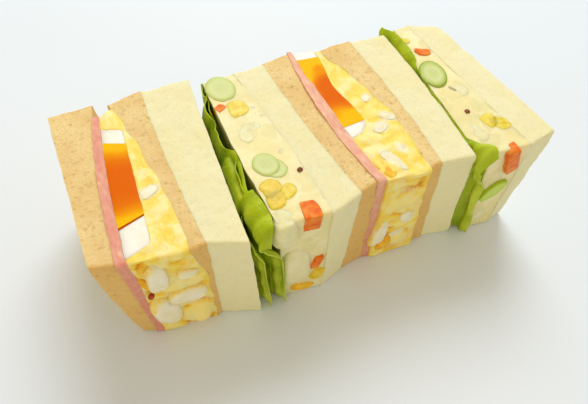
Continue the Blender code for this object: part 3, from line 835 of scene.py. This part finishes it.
def placeCopies(name, shapes, material, slot, nodes, cut, places):
    # one joined piece from copies of the shapes; a place is the centre, the half sizes
    # and the turns in degrees; cut is the z at which the knife took their tops off
    restSelected()
    for number, (centre, half, turns) in enumerate(places):
        copy = bpy.data.objects.new(name, shapes[number % len(shapes)].data.copy())
        bpy.context.scene.collection.objects.link(copy)
        sized = Matrix.Diagonal((*half, 1.0))
        copy.data.transform(Matrix.Scale(mm, 4) @ Matrix.Translation(centre)
                            @ turned(turns).to_4x4() @ sized)
        copy.select_set(True)
        if number == 0:
            bpy.context.view_layer.objects.active = copy
    if len(places) > 1:
        bpy.ops.object.join()
    joined = named(name)
    if cut:
        for vert in joined.data.vertices:
            rough = 0.08 * noise.noise(vert.co / mm / 1.5)
            vert.co.z = min(vert.co.z, (cut + rough) * mm)
    bpy.ops.object.shade_smooth_by_angle(angle=math.radians(38.0))
    handOver(joined, material, slot, *nodes)
    return joined


def moistMaterial(name, look):
    # wet cut food: three close tones in soft patches, a fine grain and a thin film of gloss
    material, add, place = newMaterial(name)
    patches = add("TexNoise", (place, every(look["patch"]), 3.0, 0.6))
    tone = add("ValToRGB", (patches,), ramp=list(zip((0.32, 0.5, 0.68), look["tones"])))
    fine = add("TexNoise", (place, every(look["grain"]), 2.0))
    return surface(material, tone, fine, {"bump": (look["bump"], 0.3), "rough": look["rough"],
                   "ior": 1.4, "gloss": 0.3, "soft": (look["soft"], (1.0, 0.8, 0.5), 2.0)})


def dressedWhiteMaterial():
    # chopped egg white: pale, slightly see-through, yellow dressing on all but its bare cut
    material, add, place = newMaterial("dressedEggWhite")
    bare = add("Attribute", attribute_name="bare").outputs["Fac"]
    cloud = add("TexNoise", (place, every(3.333), 3.0))
    white = add("ValToRGB", (cloud,), ramp=[(0.30, "EFE8C0"), (0.52, "F5F1D2"), (0.75, "F9F7E4")])
    smear = add("TexNoise", (place, every(1.613), 4.0, 0.6))
    dressing = add("ValToRGB", (smear,), ramp=[(0.3, "F7D658"), (0.7, "FAE896")])
    reach = add("Math", (smear, 0.8, bare), operation="MULTIPLY_ADD")
    shown = add("MapRange", (reach, 0.5, 1.1), **eased)
    colour = add("Mix", (shown, dressing, white), **blend)
    return surface(material, colour, smear, {"bump": (0.2, 0.3), "rough": 0.32, "ior": 1.37,
                   "gloss": 0.35, "soft": (0.4, (1.0, 0.85, 0.6), 2.5)})


# dark, base and pale tone, size of the patches and of the grain in mm, and the finish
moistLook = {
    "yolkCrumb": {"tones": ("EAA618", "F3BC26", "F8D048"), "patch": 2.0, "grain": 0.5,
                  "bump": 0.3, "rough": 0.5, "soft": 0.2},
    "boiledPotato": {"tones": ("E4E3AE", "ECEABA", "F3F1C8"), "patch": 6.0, "grain": 0.5,
                     "bump": 0.15, "rough": 0.4, "soft": 0.5},
    "sweetcorn": {"tones": ("E2C434", "ECDA50", "F3E884"), "patch": 2.5, "grain": 0.8,
                  "bump": 0.12, "rough": 0.35, "soft": 0.35},
    "boiledCarrot": {"tones": ("E65E08", "EF7C14", "F49C40"), "patch": 2.2, "grain": 0.4,
                     "bump": 0.2, "rough": 0.5, "soft": 0.15},
    "pepperGrit": {"tones": ("5A2A18", "7E4026", "A87A50"), "patch": 0.8, "grain": 0.3,
                   "bump": 0.4, "rough": 0.6, "soft": 0.0},
    "herbFleck": {"tones": ("ACAE88", "C0C09A", "D4D4B4"), "patch": 0.8, "grain": 0.3,
                  "bump": 0.3, "rough": 0.6, "soft": 0.2},
    "redCrumbSkin": {"tones": ("8A2C10", "A83C1A", "C05A2C"), "patch": 0.8, "grain": 0.3,
                     "bump": 0.3, "rough": 0.5, "soft": 0.0},
    # a darker sweetcorn tone; on the kernel low on the front it is painted shade
    "sweetcornDark": {"tones": ("DEBE2A", "EACE3C", "F0DE64"), "patch": 2.5, "grain": 0.8,
                      "bump": 0.12, "rough": 0.35, "soft": 0.35},
}
moist = {name: moistMaterial(name, look) for name, look in moistLook.items()}
blocky = [chunkShape("blockyShape%d" % n, n) for n in range(4)]
lumpy = [lumpShape("lumpyShape%d" % n, n) for n in range(4)]
cutTop = rowShape["height"] + 0.25

# boiled egg chopped into the filling; the large pieces lie where they show, and smaller
# bits are sunk in both ends
spareBits = {"count": 9, "share": (0.12, 0.9), "size": (0.7, 1.5), "z": (3.0, 48.0),
             "sunk": 0.75, "tilt": (-20, 20), "turn": (0, 90), "half": (1.3, 1.0, 1.0)}
dressedWhite = dressedWhiteMaterial()
dice = random.Random(11)
for number, bits in eggWhiteBits.items():
    layer = layerOf[eggLook[number]["layer"]]
    back, front = layers[layer][3:]
    places = []
    for spare in range(spareBits["count"]):
        side = dice.choice(("front", "back"))
        share = dice.uniform(*spareBits["share"])
        size = dice.uniform(*spareBits["size"])
        z = dice.uniform(*spareBits["z"])
        if side == "front":
            y = mix(*front, share) + size * spareBits["sunk"]
        else:
            y = mix(*back, share) - size * spareBits["sunk"]
        left, right = edgeX(layer, y, z), edgeX(layer + 1, y, z)
        turns = (dice.uniform(*spareBits["tilt"]), dice.uniform(*spareBits["tilt"]),
                 dice.uniform(*spareBits["turn"]))
        x = min(max(mix(left, right, share), left + size * 1.2), right - size * 1.2)
        places.append(((x, y, z), [size * half for half in spareBits["half"]], turns))
    for name, cut, where in (("choppedWhite", cutTop + 0.05, bits),
                             ("whiteBits", cutTop, places)):
        piece = placeCopies(name + number, lumpy, dressedWhite, "egg_white", [], cut, where)
        above = piece.data.attributes["outAbove"].data
        ahead = piece.data.attributes["outFront"].data
        bareness = []
        for vert in piece.data.vertices:
            out = above if vert.co.z > 49.5 * mm else ahead
            bareness.append(smooth(out[vert.index].value, 1.1, 0.6))
        storeValues(piece.data, "bare", bareness)

# yolk crumbs, and potato, sweetcorn, carrot and pepper in the dressing: shapes, material,
# slot, nodes, z of the cut, and the places
saladBits = {
    "yolkCrumbs": (lumpy, "yolkCrumb", "egg_yolk", [], cutTop - 0.1, [
        ((13.3, -23.4, 50.9), (2.0, 2.8, 1.7), (0, 0, 10)),
        ((15.4, -27.6, 50.9), (2.5, 2.7, 1.7), (0, 0, 20)),
        ((-62.4, -22.6, 51.0), (1.6, 1.3, 1.8), (0, 0, 20)),
        ((-68.0, -29.0, 48.6), (1.5, 1.3, 3.0), (0, 14, 0)),
        ((-68.2, -29.4, 38.6), (1.2, 1.4, 4.4), (0, -16, 0)),
        ((21.8, -30.8, 9.6), (3.0, 2.0, 4.4), (0, 14, 0)),
        ((-57.0, 27.4, 32.0), (2.0, 1.6, 2.0), (0, 0, 0))]),
    "potatoBits1": (lumpy, "boiledPotato", "potato_salad", ["potato_salad_1"], cutTop - 0.37, [
        ((-24.6, -31.0, 45.6), (4.8, 4.8, 7.4), (0, 0, 10)),
        ((-18.2, -31.2, 22.2), (5.8, 4.6, 12.6), (0, -6, 0)),
        ((-20.4, 4.4, 49.8), (5.4, 3.8, 2.9), (0, 0, 40)),
        ((-14.8, 12.0, 49.8), (3.8, 3.2, 2.9), (0, 0, 0)),
        ((-20.0, 29.0, 24.0), (4.4, 2.6, 6.0), (0, 0, 0)),
        ((-13.0, -6.0, 49.8), (3.0, 2.4, 2.8), (0, 0, 0))]),
    "potatoBits2": (lumpy, "boiledPotato", "potato_salad", ["potato_salad_2"], cutTop - 0.37, [
        ((54.6, -24.0, 49.6), (3.0, 5.0, 2.9), (0, 0, 12)),
        ((60.2, -4.0, 49.8), (4.4, 3.8, 2.7), (0, 0, 0)),
        ((66.4, -32.4, 38.0), (3.4, 2.6, 5.4), (0, 0, 0)),
        ((66.0, -32.6, 8.0), (4.0, 2.4, 4.2), (0, 0, 0)),
        ((58.0, 32.6, 30.0), (3.4, 2.4, 5.4), (0, 0, 0))]),
    "sweetcorn1": (lumpy, "sweetcorn", "potato_salad", ["potato_salad_1"], cutTop - 0.12, [
        ((-20.2, 15.3, 50.0), (4.3, 4.4, 2.8), (0, 0, 10)),
        ((-19.2, -22.4, 49.6), (4.3, 3.6, 2.8), (0, 0, 20)),
        ((-22.0, 29.6, 40.0), (2.4, 1.8, 2.4), (0, 20, 0))]),
    # darker kernels at the left of the top, and one low on the front whose darker tone is painted
    # shade
    "sweetcornDark1": (lumpy, "sweetcornDark", "potato_salad", [], cutTop - 0.12, [
        ((-23.6, -19.4, 50.0), (4.4, 3.9, 2.8), (0, 0, 30)),
        ((-24.0, -24.2, 49.9), (3.8, 4.2, 2.8), (0, 0, -15)),
        ((-9.0, -33.9, 12.4), (2.6, 2.0, 3.6), (0, 20, 0))]),
    "sweetcorn2": (lumpy, "sweetcorn", "potato_salad", ["potato_salad_2"], cutTop - 0.12, [
        ((54.9, 26.6, 50.4), (2.6, 1.8, 2.2), (0, 0, -20)),
        ((61.9, -20.4, 50.0), (3.5, 3.9, 2.7), (0, 0, 10)),
        ((65.2, -22.9, 50.0), (3.4, 3.9, 2.7), (0, 0, 30)),
        ((62.0, 33.2, 20.0), (2.2, 1.7, 2.2), (0, 0, 0))]),
    "carrotDice1": (blocky[:1], "boiledCarrot", "carrot", ["carrot_dice_1"], cutTop, [
        ((-15.6, -31.2, 48.6), (3.0, 3.3, 4.0), (0, 0, -8)),
        ((-26.0, 17.6, 50.8), (1.7, 1.3, 1.9), (0, 0, 30)),
        ((-10.8, -33.8, 22.0), (1.6, 1.7, 3.4), (0, 14, 0))]),
    "carrotCrumb1": (lumpy, "yolkCrumb", "carrot", [], cutTop, [
        ((-13.4, -32.6, 4.6), (5.6, 2.4, 2.6), (0, 14, 0))]),
    "carrotDice2": (blocky[1:2], "boiledCarrot", "carrot", ["carrot_dice_2"], cutTop, [
        ((58.0, 18.7, 49.2), (3.2, 1.7, 3.4), (0, 0, -24))]),
    "carrotDice3": (blocky[2:3], "boiledCarrot", "carrot", ["carrot_dice_3"], cutTop + 0.3, [
        ((63.6, -34.2, 45.4), (2.6, 2.3, 7.2), (0, -22, 0))]),
    "pepperGrit1": (lumpy, "pepperGrit", "potato_salad", ["potato_salad_1"], None, [
        ((-12.0, -16.1, 51.9), (0.95, 0.8, 0.6), (0, 0, 20))]),
    "pepperGrit2": (lumpy, "pepperGrit", "potato_salad", ["potato_salad_2"], None, [
        ((56.3, -14.0, 51.9), (1.0, 0.9, 0.6), (0, 0, 0))]),
    "herbFleck2": (lumpy, "herbFleck", "potato_salad", [], None, [
        ((57.9, -2.3, 51.7), (1.7, 0.5, 0.6), (0, 0, -62))]),
    "redCrumb": (lumpy, "redCrumbSkin", "egg_salad", ["egg_salad_1"], None, [
        ((-67.4, -30.9, 32.4), (0.9, 0.8, 1.2), (0, 30, 0))]),
}
for name, (shapes, material, slot, nodes, cut, places) in saladBits.items():
    placeCopies(name, shapes, moist[material], slot, nodes, cut, places)
for shape in blocky + lumpy:
    bpy.data.objects.remove(shape)
print("chopped egg and salad pieces made")


def spearMaterial(name, tones):
    # green spear, cut: a darker skin, a paler ring below it and a wet pale middle
    material, add, place = newMaterial(name)
    ring = add("Attribute", attribute_name="ring").outputs["Fac"]
    sway = add("TexNoise", (place, every(2.381), 3.0))
    level = add("Math", (sway, 0.16, ring), operation="MULTIPLY_ADD")
    tone = add("ValToRGB", (level,), ramp=list(zip((0.0, 0.40, 0.62, 0.82, 0.98, 1.0), tones)))
    dots = add("TexVoronoi", (place, every(0.909)))
    return surface(material, tone, dots, {"bump": (0.2, 0.3), "rough": 0.4, "ior": 1.4,
                   "gloss": 0.3, "soft": (0.35, (0.7, 1.0, 0.4), 2.0)})


# steps of the rings set in on the cut face, drop of the rim and of the middle, and how
# uneven the outline is
spearLook = {"steps": (0.04, 0.06, 0.10, 0.12, 0.16, 0.16, 0.16), "rimDrop": 0.25,
             "middleDrop": 0.12, "uneven": 0.03, "meanTone": 0.45}


def spearRound(name, lobe, axis, low, high, contrast):
    # a slice across a spear, with rings on the cut face and the skin's rim rounded
    look = spearLook
    centre, radii, turn = lobe
    restSelected()
    bpy.ops.mesh.primitive_cylinder_add(vertices=48, radius=1.0, depth=1.0, end_fill_type="NGON")
    slicePiece = named(name)
    bpy.ops.object.mode_set(mode="EDIT")
    selectParts(slicePiece, "faces", lambda face: face.normal.z > 0.9)
    for step in look["steps"]:
        bpy.ops.mesh.inset(thickness=step)
    bpy.ops.object.mode_set(mode="OBJECT")
    rings = []
    swing = Matrix.Rotation(math.radians(turn), 3, "Z")
    for vert in slicePiece.data.vertices:
        u, v, w = vert.co
        far = min(math.hypot(u, v), 1.0)
        rings.append(mix(look["meanTone"], 1.0 if w < 0.0 or far > 0.96 else far, contrast))
        drop = look["rimDrop"] * smooth(far, 0.88, 1.0)
        drop += look["middleDrop"] * smooth(far, 0.8, 0.3)
        depth = low if w < 0.0 else high - drop
        wobble = 1.0 + look["uneven"] * noise.noise(Vector((u * 1.5, v * 1.5, turn)))
        flat = swing @ Vector((u * radii[0] * wobble, v * radii[1] * wobble, 0.0))
        if axis == "Z":
            spot = Vector((centre[0] + flat.x, centre[1] + flat.y, depth))
            spot.x += rowShape["fillingLean"] * (rowShape["height"] - depth)
        else:
            spot = Vector((centre[0] + flat.x, -depth, centre[1] + flat.y))
        vert.co = spot * mm
    storeValues(slicePiece.data, "ring", rings)
    bpy.ops.object.mode_set(mode="EDIT")
    facesOutward()
    bpy.ops.object.shade_smooth_by_angle(angle=math.radians(50.0))
    return slicePiece


# tones from the core to the skin
paleSpear = spearMaterial("greenSpearCutAcross", ("C6D68A", "CCDA92", "D4E09C", "C2D27C",
                          "AEC25C", "96AC42"))
darkSpear = spearMaterial("greenSpearCutAslant", ("C4DA66", "C8DE58", "C6DC44", "C2DA38",
                          "BCD634", "AECA30"))
# rounds of each spear: centre, radii and turn, the way it is cut, its ends, ring contrast
spears = {
    "green_spear_1": [(((-22.5, 26.0), (5.3, 6.0), 0.0), "Z", 40.0, 52.35, 0.5)],
    "green_spear_2": [(((-21.5, -10.3), (4.4, 4.7), 10.0), "Z", 43.0, 52.3, 0.5),
                      (((-19.2, -12.8), (3.9, 4.2), 30.0), "Z", 43.2, 52.1, 0.5)],
    "green_spear_3": [(((55.0, 6.8), (5.2, 7.0), -16.0), "Z", 41.0, 52.5, 1.0)],
    "green_spear_4": [(((63.9, 27.0), (6.2, 4.2), 38.0), "Y", 30.0, 35.9, 1.0)],
}
for node, lobes in spears.items():
    for letter, (lobe, axis, low, high, contrast) in zip("ab", lobes):
        slicePiece = spearRound(node.replace("_", "") + "Round" + letter, lobe, axis, low, high,
                                contrast)
        handOver(slicePiece, darkSpear if axis == "Y" else paleSpear, "green_spear", node)
print("spears made")


# lettuce: thin ruffled leaves that stand in their layer, the free edge curling over
leafLook = {
    "along": 140, "up": 44, "bend": 30, "thickness": 0.35, "steps": 12, "bottom": 0.6,
    # lengths along and up of the wave, and rates of the ruffle
    "wave": (3.1, 9.0, 7.0), "ruffle": (0.62, 1.3, 0.23),
    # height, length along and length up of the creases
    "slow": (0.9, 5.0, 9.0), "fine": (0.2, 2.2, 4.0), "narrow": (1.8, 2.4, 13.0),
    "frontReach": 8.0, "hangReach": 4.0, "hangBack": 0.14,
}


def lettuceMaterial():
    # lettuce: bright yellow-green blade with paler veins, lit through where it is thin
    material, add, place = newMaterial("lettuce")
    stretch = add("Mapping", {"Vector": place, "Scale": (1.0, 1.0, 0.45)})
    veins = add("TexVoronoi", (stretch, every(4.762)), feature="DISTANCE_TO_EDGE")
    line = add("MapRange", (veins, 0.0, 0.09, 1.0, 0.0), **eased)
    blade = add("TexNoise", (place, every(7.692), 4.0, 0.6))
    # painted light and shade, read from the blade's shape: paler on the bent-over part and near
    # the front end, darker on one side of each fold
    height = add("Attribute", attribute_name="rise").outputs["Fac"]
    level = add("Math", (blade, 0.7, height), operation="MULTIPLY_ADD")
    tone = add("ValToRGB", (level,),
               ramp=[(0.10, "76920A"), (0.36, "9CB408"), (0.62, "B0C41A"), (1.0, "C6D640")])
    veined = add("Mix", (line, tone, "BECB4C"), **blend)
    colour = add("Mix", (0.16, tone, veined), **blend)
    crinkle = add("TexNoise", (place, every(1.923), 3.0))
    relief = add("Math", (line, -0.5, crinkle), operation="MULTIPLY_ADD")
    return surface(material, colour, relief, {"bump": (0.35, 0.4), "rough": 0.42, "ior": 1.4,
                   "gloss": 0.3, "soft": (0.3, (0.5, 1.0, 0.2), 1.0)})


def leafPiece(name, shape):
    # a blade from the bottom of its layer up to its top, then over in an arc
    look = leafLook
    number = layerOf[shape["layer"]]
    backEnd, frontEnd = shape["ends"]
    rows = look["up"] + look["bend"]
    restSelected()
    bpy.ops.mesh.primitive_grid_add(x_subdivisions=look["along"], y_subdivisions=rows, size=1.0)
    blade = named(name)
    rise = []
    for vert in blade.data.vertices:
        y = mix(backEnd, frontEnd, vert.co.x + 0.5)
        level = (vert.co.y + 0.5) * rows
        turn, length = max(shape["turn"](y), 0.05), shape["length"](y)
        start = shape["top"](y) - length * math.sin(turn) / turn
        z = mix(look["bottom"], start, min(level / look["up"], 1.0))
        spot = Vector((edgeX(number, y, z) + shape["offset"](y, z), y, z))
        alongY, alongZ, again = look["wave"]
        spot.x += shape["wave"] * math.sin(y / alongY + z / alongZ) * math.sin(z / again + 1.0)
        over = max(level - look["up"], 0.0) / look["bend"]
        angle = 0.0
        for step in range(look["steps"] if over > 0.0 else 0):
            along = over * (step + 0.5) / look["steps"]
            angle = turn * along - rowShape["fillingLean"]
            spot.x += math.sin(angle) * length * over / look["steps"]
            spot.z += math.cos(angle) * length * over / look["steps"]
        # pushes square to the blade: its ruffle, slow and fine creases, narrow ones in front
        front = smooth(y, frontEnd + look["frontReach"], frontEnd)
        rate, bend, slowRate = look["ruffle"]
        push = shape["frill"] * over ** 1.5 * math.sin(y * rate + bend * math.sin(y * slowRate))
        rises = (("slow", 1.0, 0.0, number * 3.0 + over), ("fine", 1.0, 2.0 * over, number * 5.0),
                 ("narrow", front * (1.0 - over), 0.0, number))
        for kind, share, lift, seed in rises:
            height, alongY, alongZ = look[kind]
            push += height * share * noise.noise(Vector((y / alongY, z / alongZ + lift, seed)))
        # painted light and shade for the material: paler where the blade bends over and near its
        # front, darker on one side of each fold
        rise.append(0.12 * over - 0.4 * push + 0.4 * front)
        push = push * smooth(y, frontEnd - 0.5, frontEnd + 2.5) + shape["fold"](y, over)
        spot += Vector((math.cos(angle), 0.0, -math.sin(angle))) * push
        spot.x += shape["sweep"](z) * front * (1.0 - over)
        hang = smooth(y, frontEnd + look["hangReach"], frontEnd)
        spot.z -= shape["drape"](over) * hang ** 2
        spot.x -= look["hangBack"] * shape["drape"](over) * hang
        vert.co = spot * mm
    storeValues(blade.data, "rise", rise)
    thick = blade.modifiers.new("bladeThickness", "SOLIDIFY")
    thick.thickness = look["thickness"] * mm
    thick.offset = 0.0
    bpy.ops.object.modifier_apply(modifier=thick.name)
    for face in blade.data.polygons:
        face.use_smooth = True
    return blade


def fromRight(layerName, gap):
    # distance from a layer's left boundary that stays short of its right one by the gap
    number = layerOf[layerName]
    return lambda y, z: edgeX(number + 1, y, z) - edgeX(number, y, z) - gap


def leftLobes(y, over):
    # a crease that parts the bent stretch into two lobes
    reach = smooth(y, 1.0, -3.0) * smooth(y, -20.0, -16.0)
    return 1.5 * reach * math.exp(-((over - 0.74) / 0.09) ** 2)


def frontLobe(y, over):
    # a broad swelling, and a crease near the front
    swell = -1.0 * math.sin(math.pi * over) * smooth(y, -18.0, -26.0)
    return swell + 0.9 * math.exp(-((y + 29.0) / 1.6) ** 2) * over


def pleats(y, over):
    # narrow folds that run down the front
    return frontLobe(y, over) + 0.9 * math.sin(y * 1.5) * smooth(y, -25.0, -28.0) * (1.0 - over)


# ends are the y of the back and front end, offset the distance from the layer's left
# boundary, top the z of the free edge, length and turn the arc that bends over, fold a push
# square to the blade, sweep turns the front end across the gap and drape lets it hang
plainLeaf = {
    "sweep": lambda z: 0.0, "fold": lambda y, over: 0.0, "drape": lambda over: 0.0,
    "turn": lambda y: 0.0, "length": lambda y: 9.0,
}
leaves = {
    "lettuce_leaf_1": {
        **plainLeaf, "layer": "lettuce_1", "ends": (32.4, -35.4), "wave": 0.3, "frill": 0.4,
        "sweep": lambda z: 2.8 + 0.4 * math.sin(z / 6.0),
        "offset": lambda y, z: 0.9 + 3.4 * smooth(y, 21.0, 30.0),
        "fold": leftLobes,
        "top": lambda y: mix(50.8, 44.6, smooth(y, -18.5, -21.0)),
        "turn": lambda y: mix(0.42, 1.3, smooth(y, 2.0, -2.0)) * smooth(y, -22.0, -19.0),
        "length": lambda y: mix(8.6, 10.6, smooth(y, -18.0, -3.0))},
    "lettuce_leaf_2": {
        **plainLeaf, "layer": "lettuce_1", "ends": (32.0, -31.0), "wave": 0.3, "frill": 0.3,
        "offset": lambda y, z: fromRight("lettuce_1", 0.9)(y, z)
        - 2.4 * smooth(z, 50.5, 43.5) * smooth(y, -2.0, -10.0),
        "top": lambda y: mix(42.0, 51.4, smooth(y, 1.0, -4.0))
        + 8.6 * smooth(y, 12.0, 19.0) - 7.4 * smooth(y, -19.0, -23.0)},
    "lettuce_leaf_3": {
        **plainLeaf, "layer": "lettuce_1", "ends": (-13.0, -36.0), "wave": 0.2, "frill": 0.4,
        "sweep": lambda z: mix(4.8, 1.6, smooth(z, 34.0, 43.0)),
        "offset": lambda y, z: mix(2.4 + 2.4 * smooth(y, -25.0, -30.0), 2.3,
                                   smooth(z, 38.0, 46.0)),
        "fold": frontLobe, "drape": lambda over: 8.0 * over,
        "top": lambda y: mix(47.0, 52.3, smooth(y, -15.0, -19.0)),
        "turn": lambda y: mix(0.5, 1.4, smooth(y, -15.0, -19.0)),
        "length": lambda y: mix(8.0, 10.6, smooth(y, -15.0, -27.0))},
    "lettuce_leaf_4": {
        **plainLeaf, "layer": "lettuce_2", "ends": (35.6, -36.2), "wave": 0.1, "frill": 0.4,
        "sweep": lambda z: mix(5.4 + 0.8 * math.sin(z / 5.0), 1.6, smooth(z, 32.0, 41.0)),
        "offset": lambda y, z: 0.75 - 0.25 * smooth(abs(y), 22.0, 16.0),
        "fold": pleats, "drape": lambda over: 13.0 * over * (1.15 - over),
        "top": lambda y: mix(51.9, 52.9, smooth(y, 6.0, 10.0) + smooth(y, -24.0, -28.0)),
        "turn": lambda y: 0.3 + 1.15 * smooth(y, -25.0, -28.0)
        + 0.95 * smooth(y, 9.0, 18.0) * (1.0 - 0.6 * smooth(y, 31.0, 35.0)),
        "length": lambda y: 3.0 + 3.6 * smooth(y, 8.0, 16.0) * smooth(y, 37.0, 28.0)
        + 9.5 * smooth(y, -26.5, -34.5)},
    "lettuce_leaf_5": {
        **plainLeaf, "layer": "lettuce_2", "ends": (-22.0, -34.6), "wave": 0.15, "frill": 0.3,
        "sweep": lambda z: 0.6,
        "offset": fromRight("lettuce_2", 1.4),
        "top": lambda y: mix(46.0, 44.0, smooth(y, -26.0, -31.0))},
}
lettuce = lettuceMaterial()
for node, shape in leaves.items():
    blade = leafPiece(node.replace("_", "") + "Blade", shape)
    handOver(blade, lettuce, "lettuce", node)
print("lettuce made")


# floor, soft daylight and the camera at the photo's angle; lights and floor in metres
stageLook = {
    "floorSize": 6.0, "floorHeight": -0.0002, "floorRough": 0.6, "worldColour": "FFF3E0",
    "worldStrength": 0.56, "target": (0.0, 0.0, 0.03),
    "lights": {"backWindow": ((0.35, 0.75, 1.05), 0.7, 11.0, "FFFFFF"),
               "frontFill": ((-0.7, -0.9, 0.8), 0.9, 3.0, "FFD894")},
    "eye": (-78.933, -114.466, 200.0), "right": (0.8959956, -0.43145008, 0.10508434),
    "up": (0.30021821, 0.76291847, 0.57255955), "sensor": 36.0, "lens": 593.0 / 588.0 * 36.0,
}
restSelected()
bpy.ops.mesh.primitive_plane_add(size=stageLook["floorSize"],
                                 location=(0.0, 0.0, stageLook["floorHeight"]))
floor = named("paleFloor")
# a pale painted table, faintly clouded
paleTable, add, place = newMaterial("paleTable")
cloud = add("TexNoise", (place, every(333.3)))
tint = add("ValToRGB", (cloud,), ramp=[(0.3, "E1EEFB"), (0.7, "E6F1FD")])
setInputs(paleTable.node_tree.nodes["Principled BSDF"], {"Base Color": tint,
          "Roughness": stageLook["floorRough"]})
floor.data.materials.append(paleTable)

world = bpy.data.worlds.new("softRoom")
bpy.context.scene.world = world
world.use_nodes = True
setInputs(world.node_tree.nodes["Background"], {"Color": stageLook["worldColour"],
          "Strength": stageLook["worldStrength"]})

# square panels of light turned towards the row: place, size, power and colour
for name, (spot, size, power, colour) in stageLook["lights"].items():
    restSelected()
    bpy.ops.object.light_add(type="AREA", location=spot)
    light = named(name)
    light.data.shape = "SQUARE"
    light.data.size = size
    light.data.energy = power
    light.data.color = linear(colour)[:3]
    away = Vector(spot) - Vector(stageLook["target"])
    light.rotation_euler = away.to_track_quat("Z", "Y").to_euler()

right, up = Vector(stageLook["right"]), Vector(stageLook["up"])
restSelected()
bpy.ops.object.camera_add(location=Vector(stageLook["eye"]) * mm)
camera = named("photoCamera")
camera.rotation_mode = "QUATERNION"
camera.rotation_quaternion = Matrix((right, up, right.cross(up))).transposed().to_quaternion()
camera.data.sensor_width = stageLook["sensor"]
camera.data.lens = stageLook["lens"]
camera.data.clip_start = 0.01
camera.data.clip_end = 20.0
bpy.context.scene.camera = camera
bpy.context.scene.view_settings.view_transform = "Standard"
print("stage set")
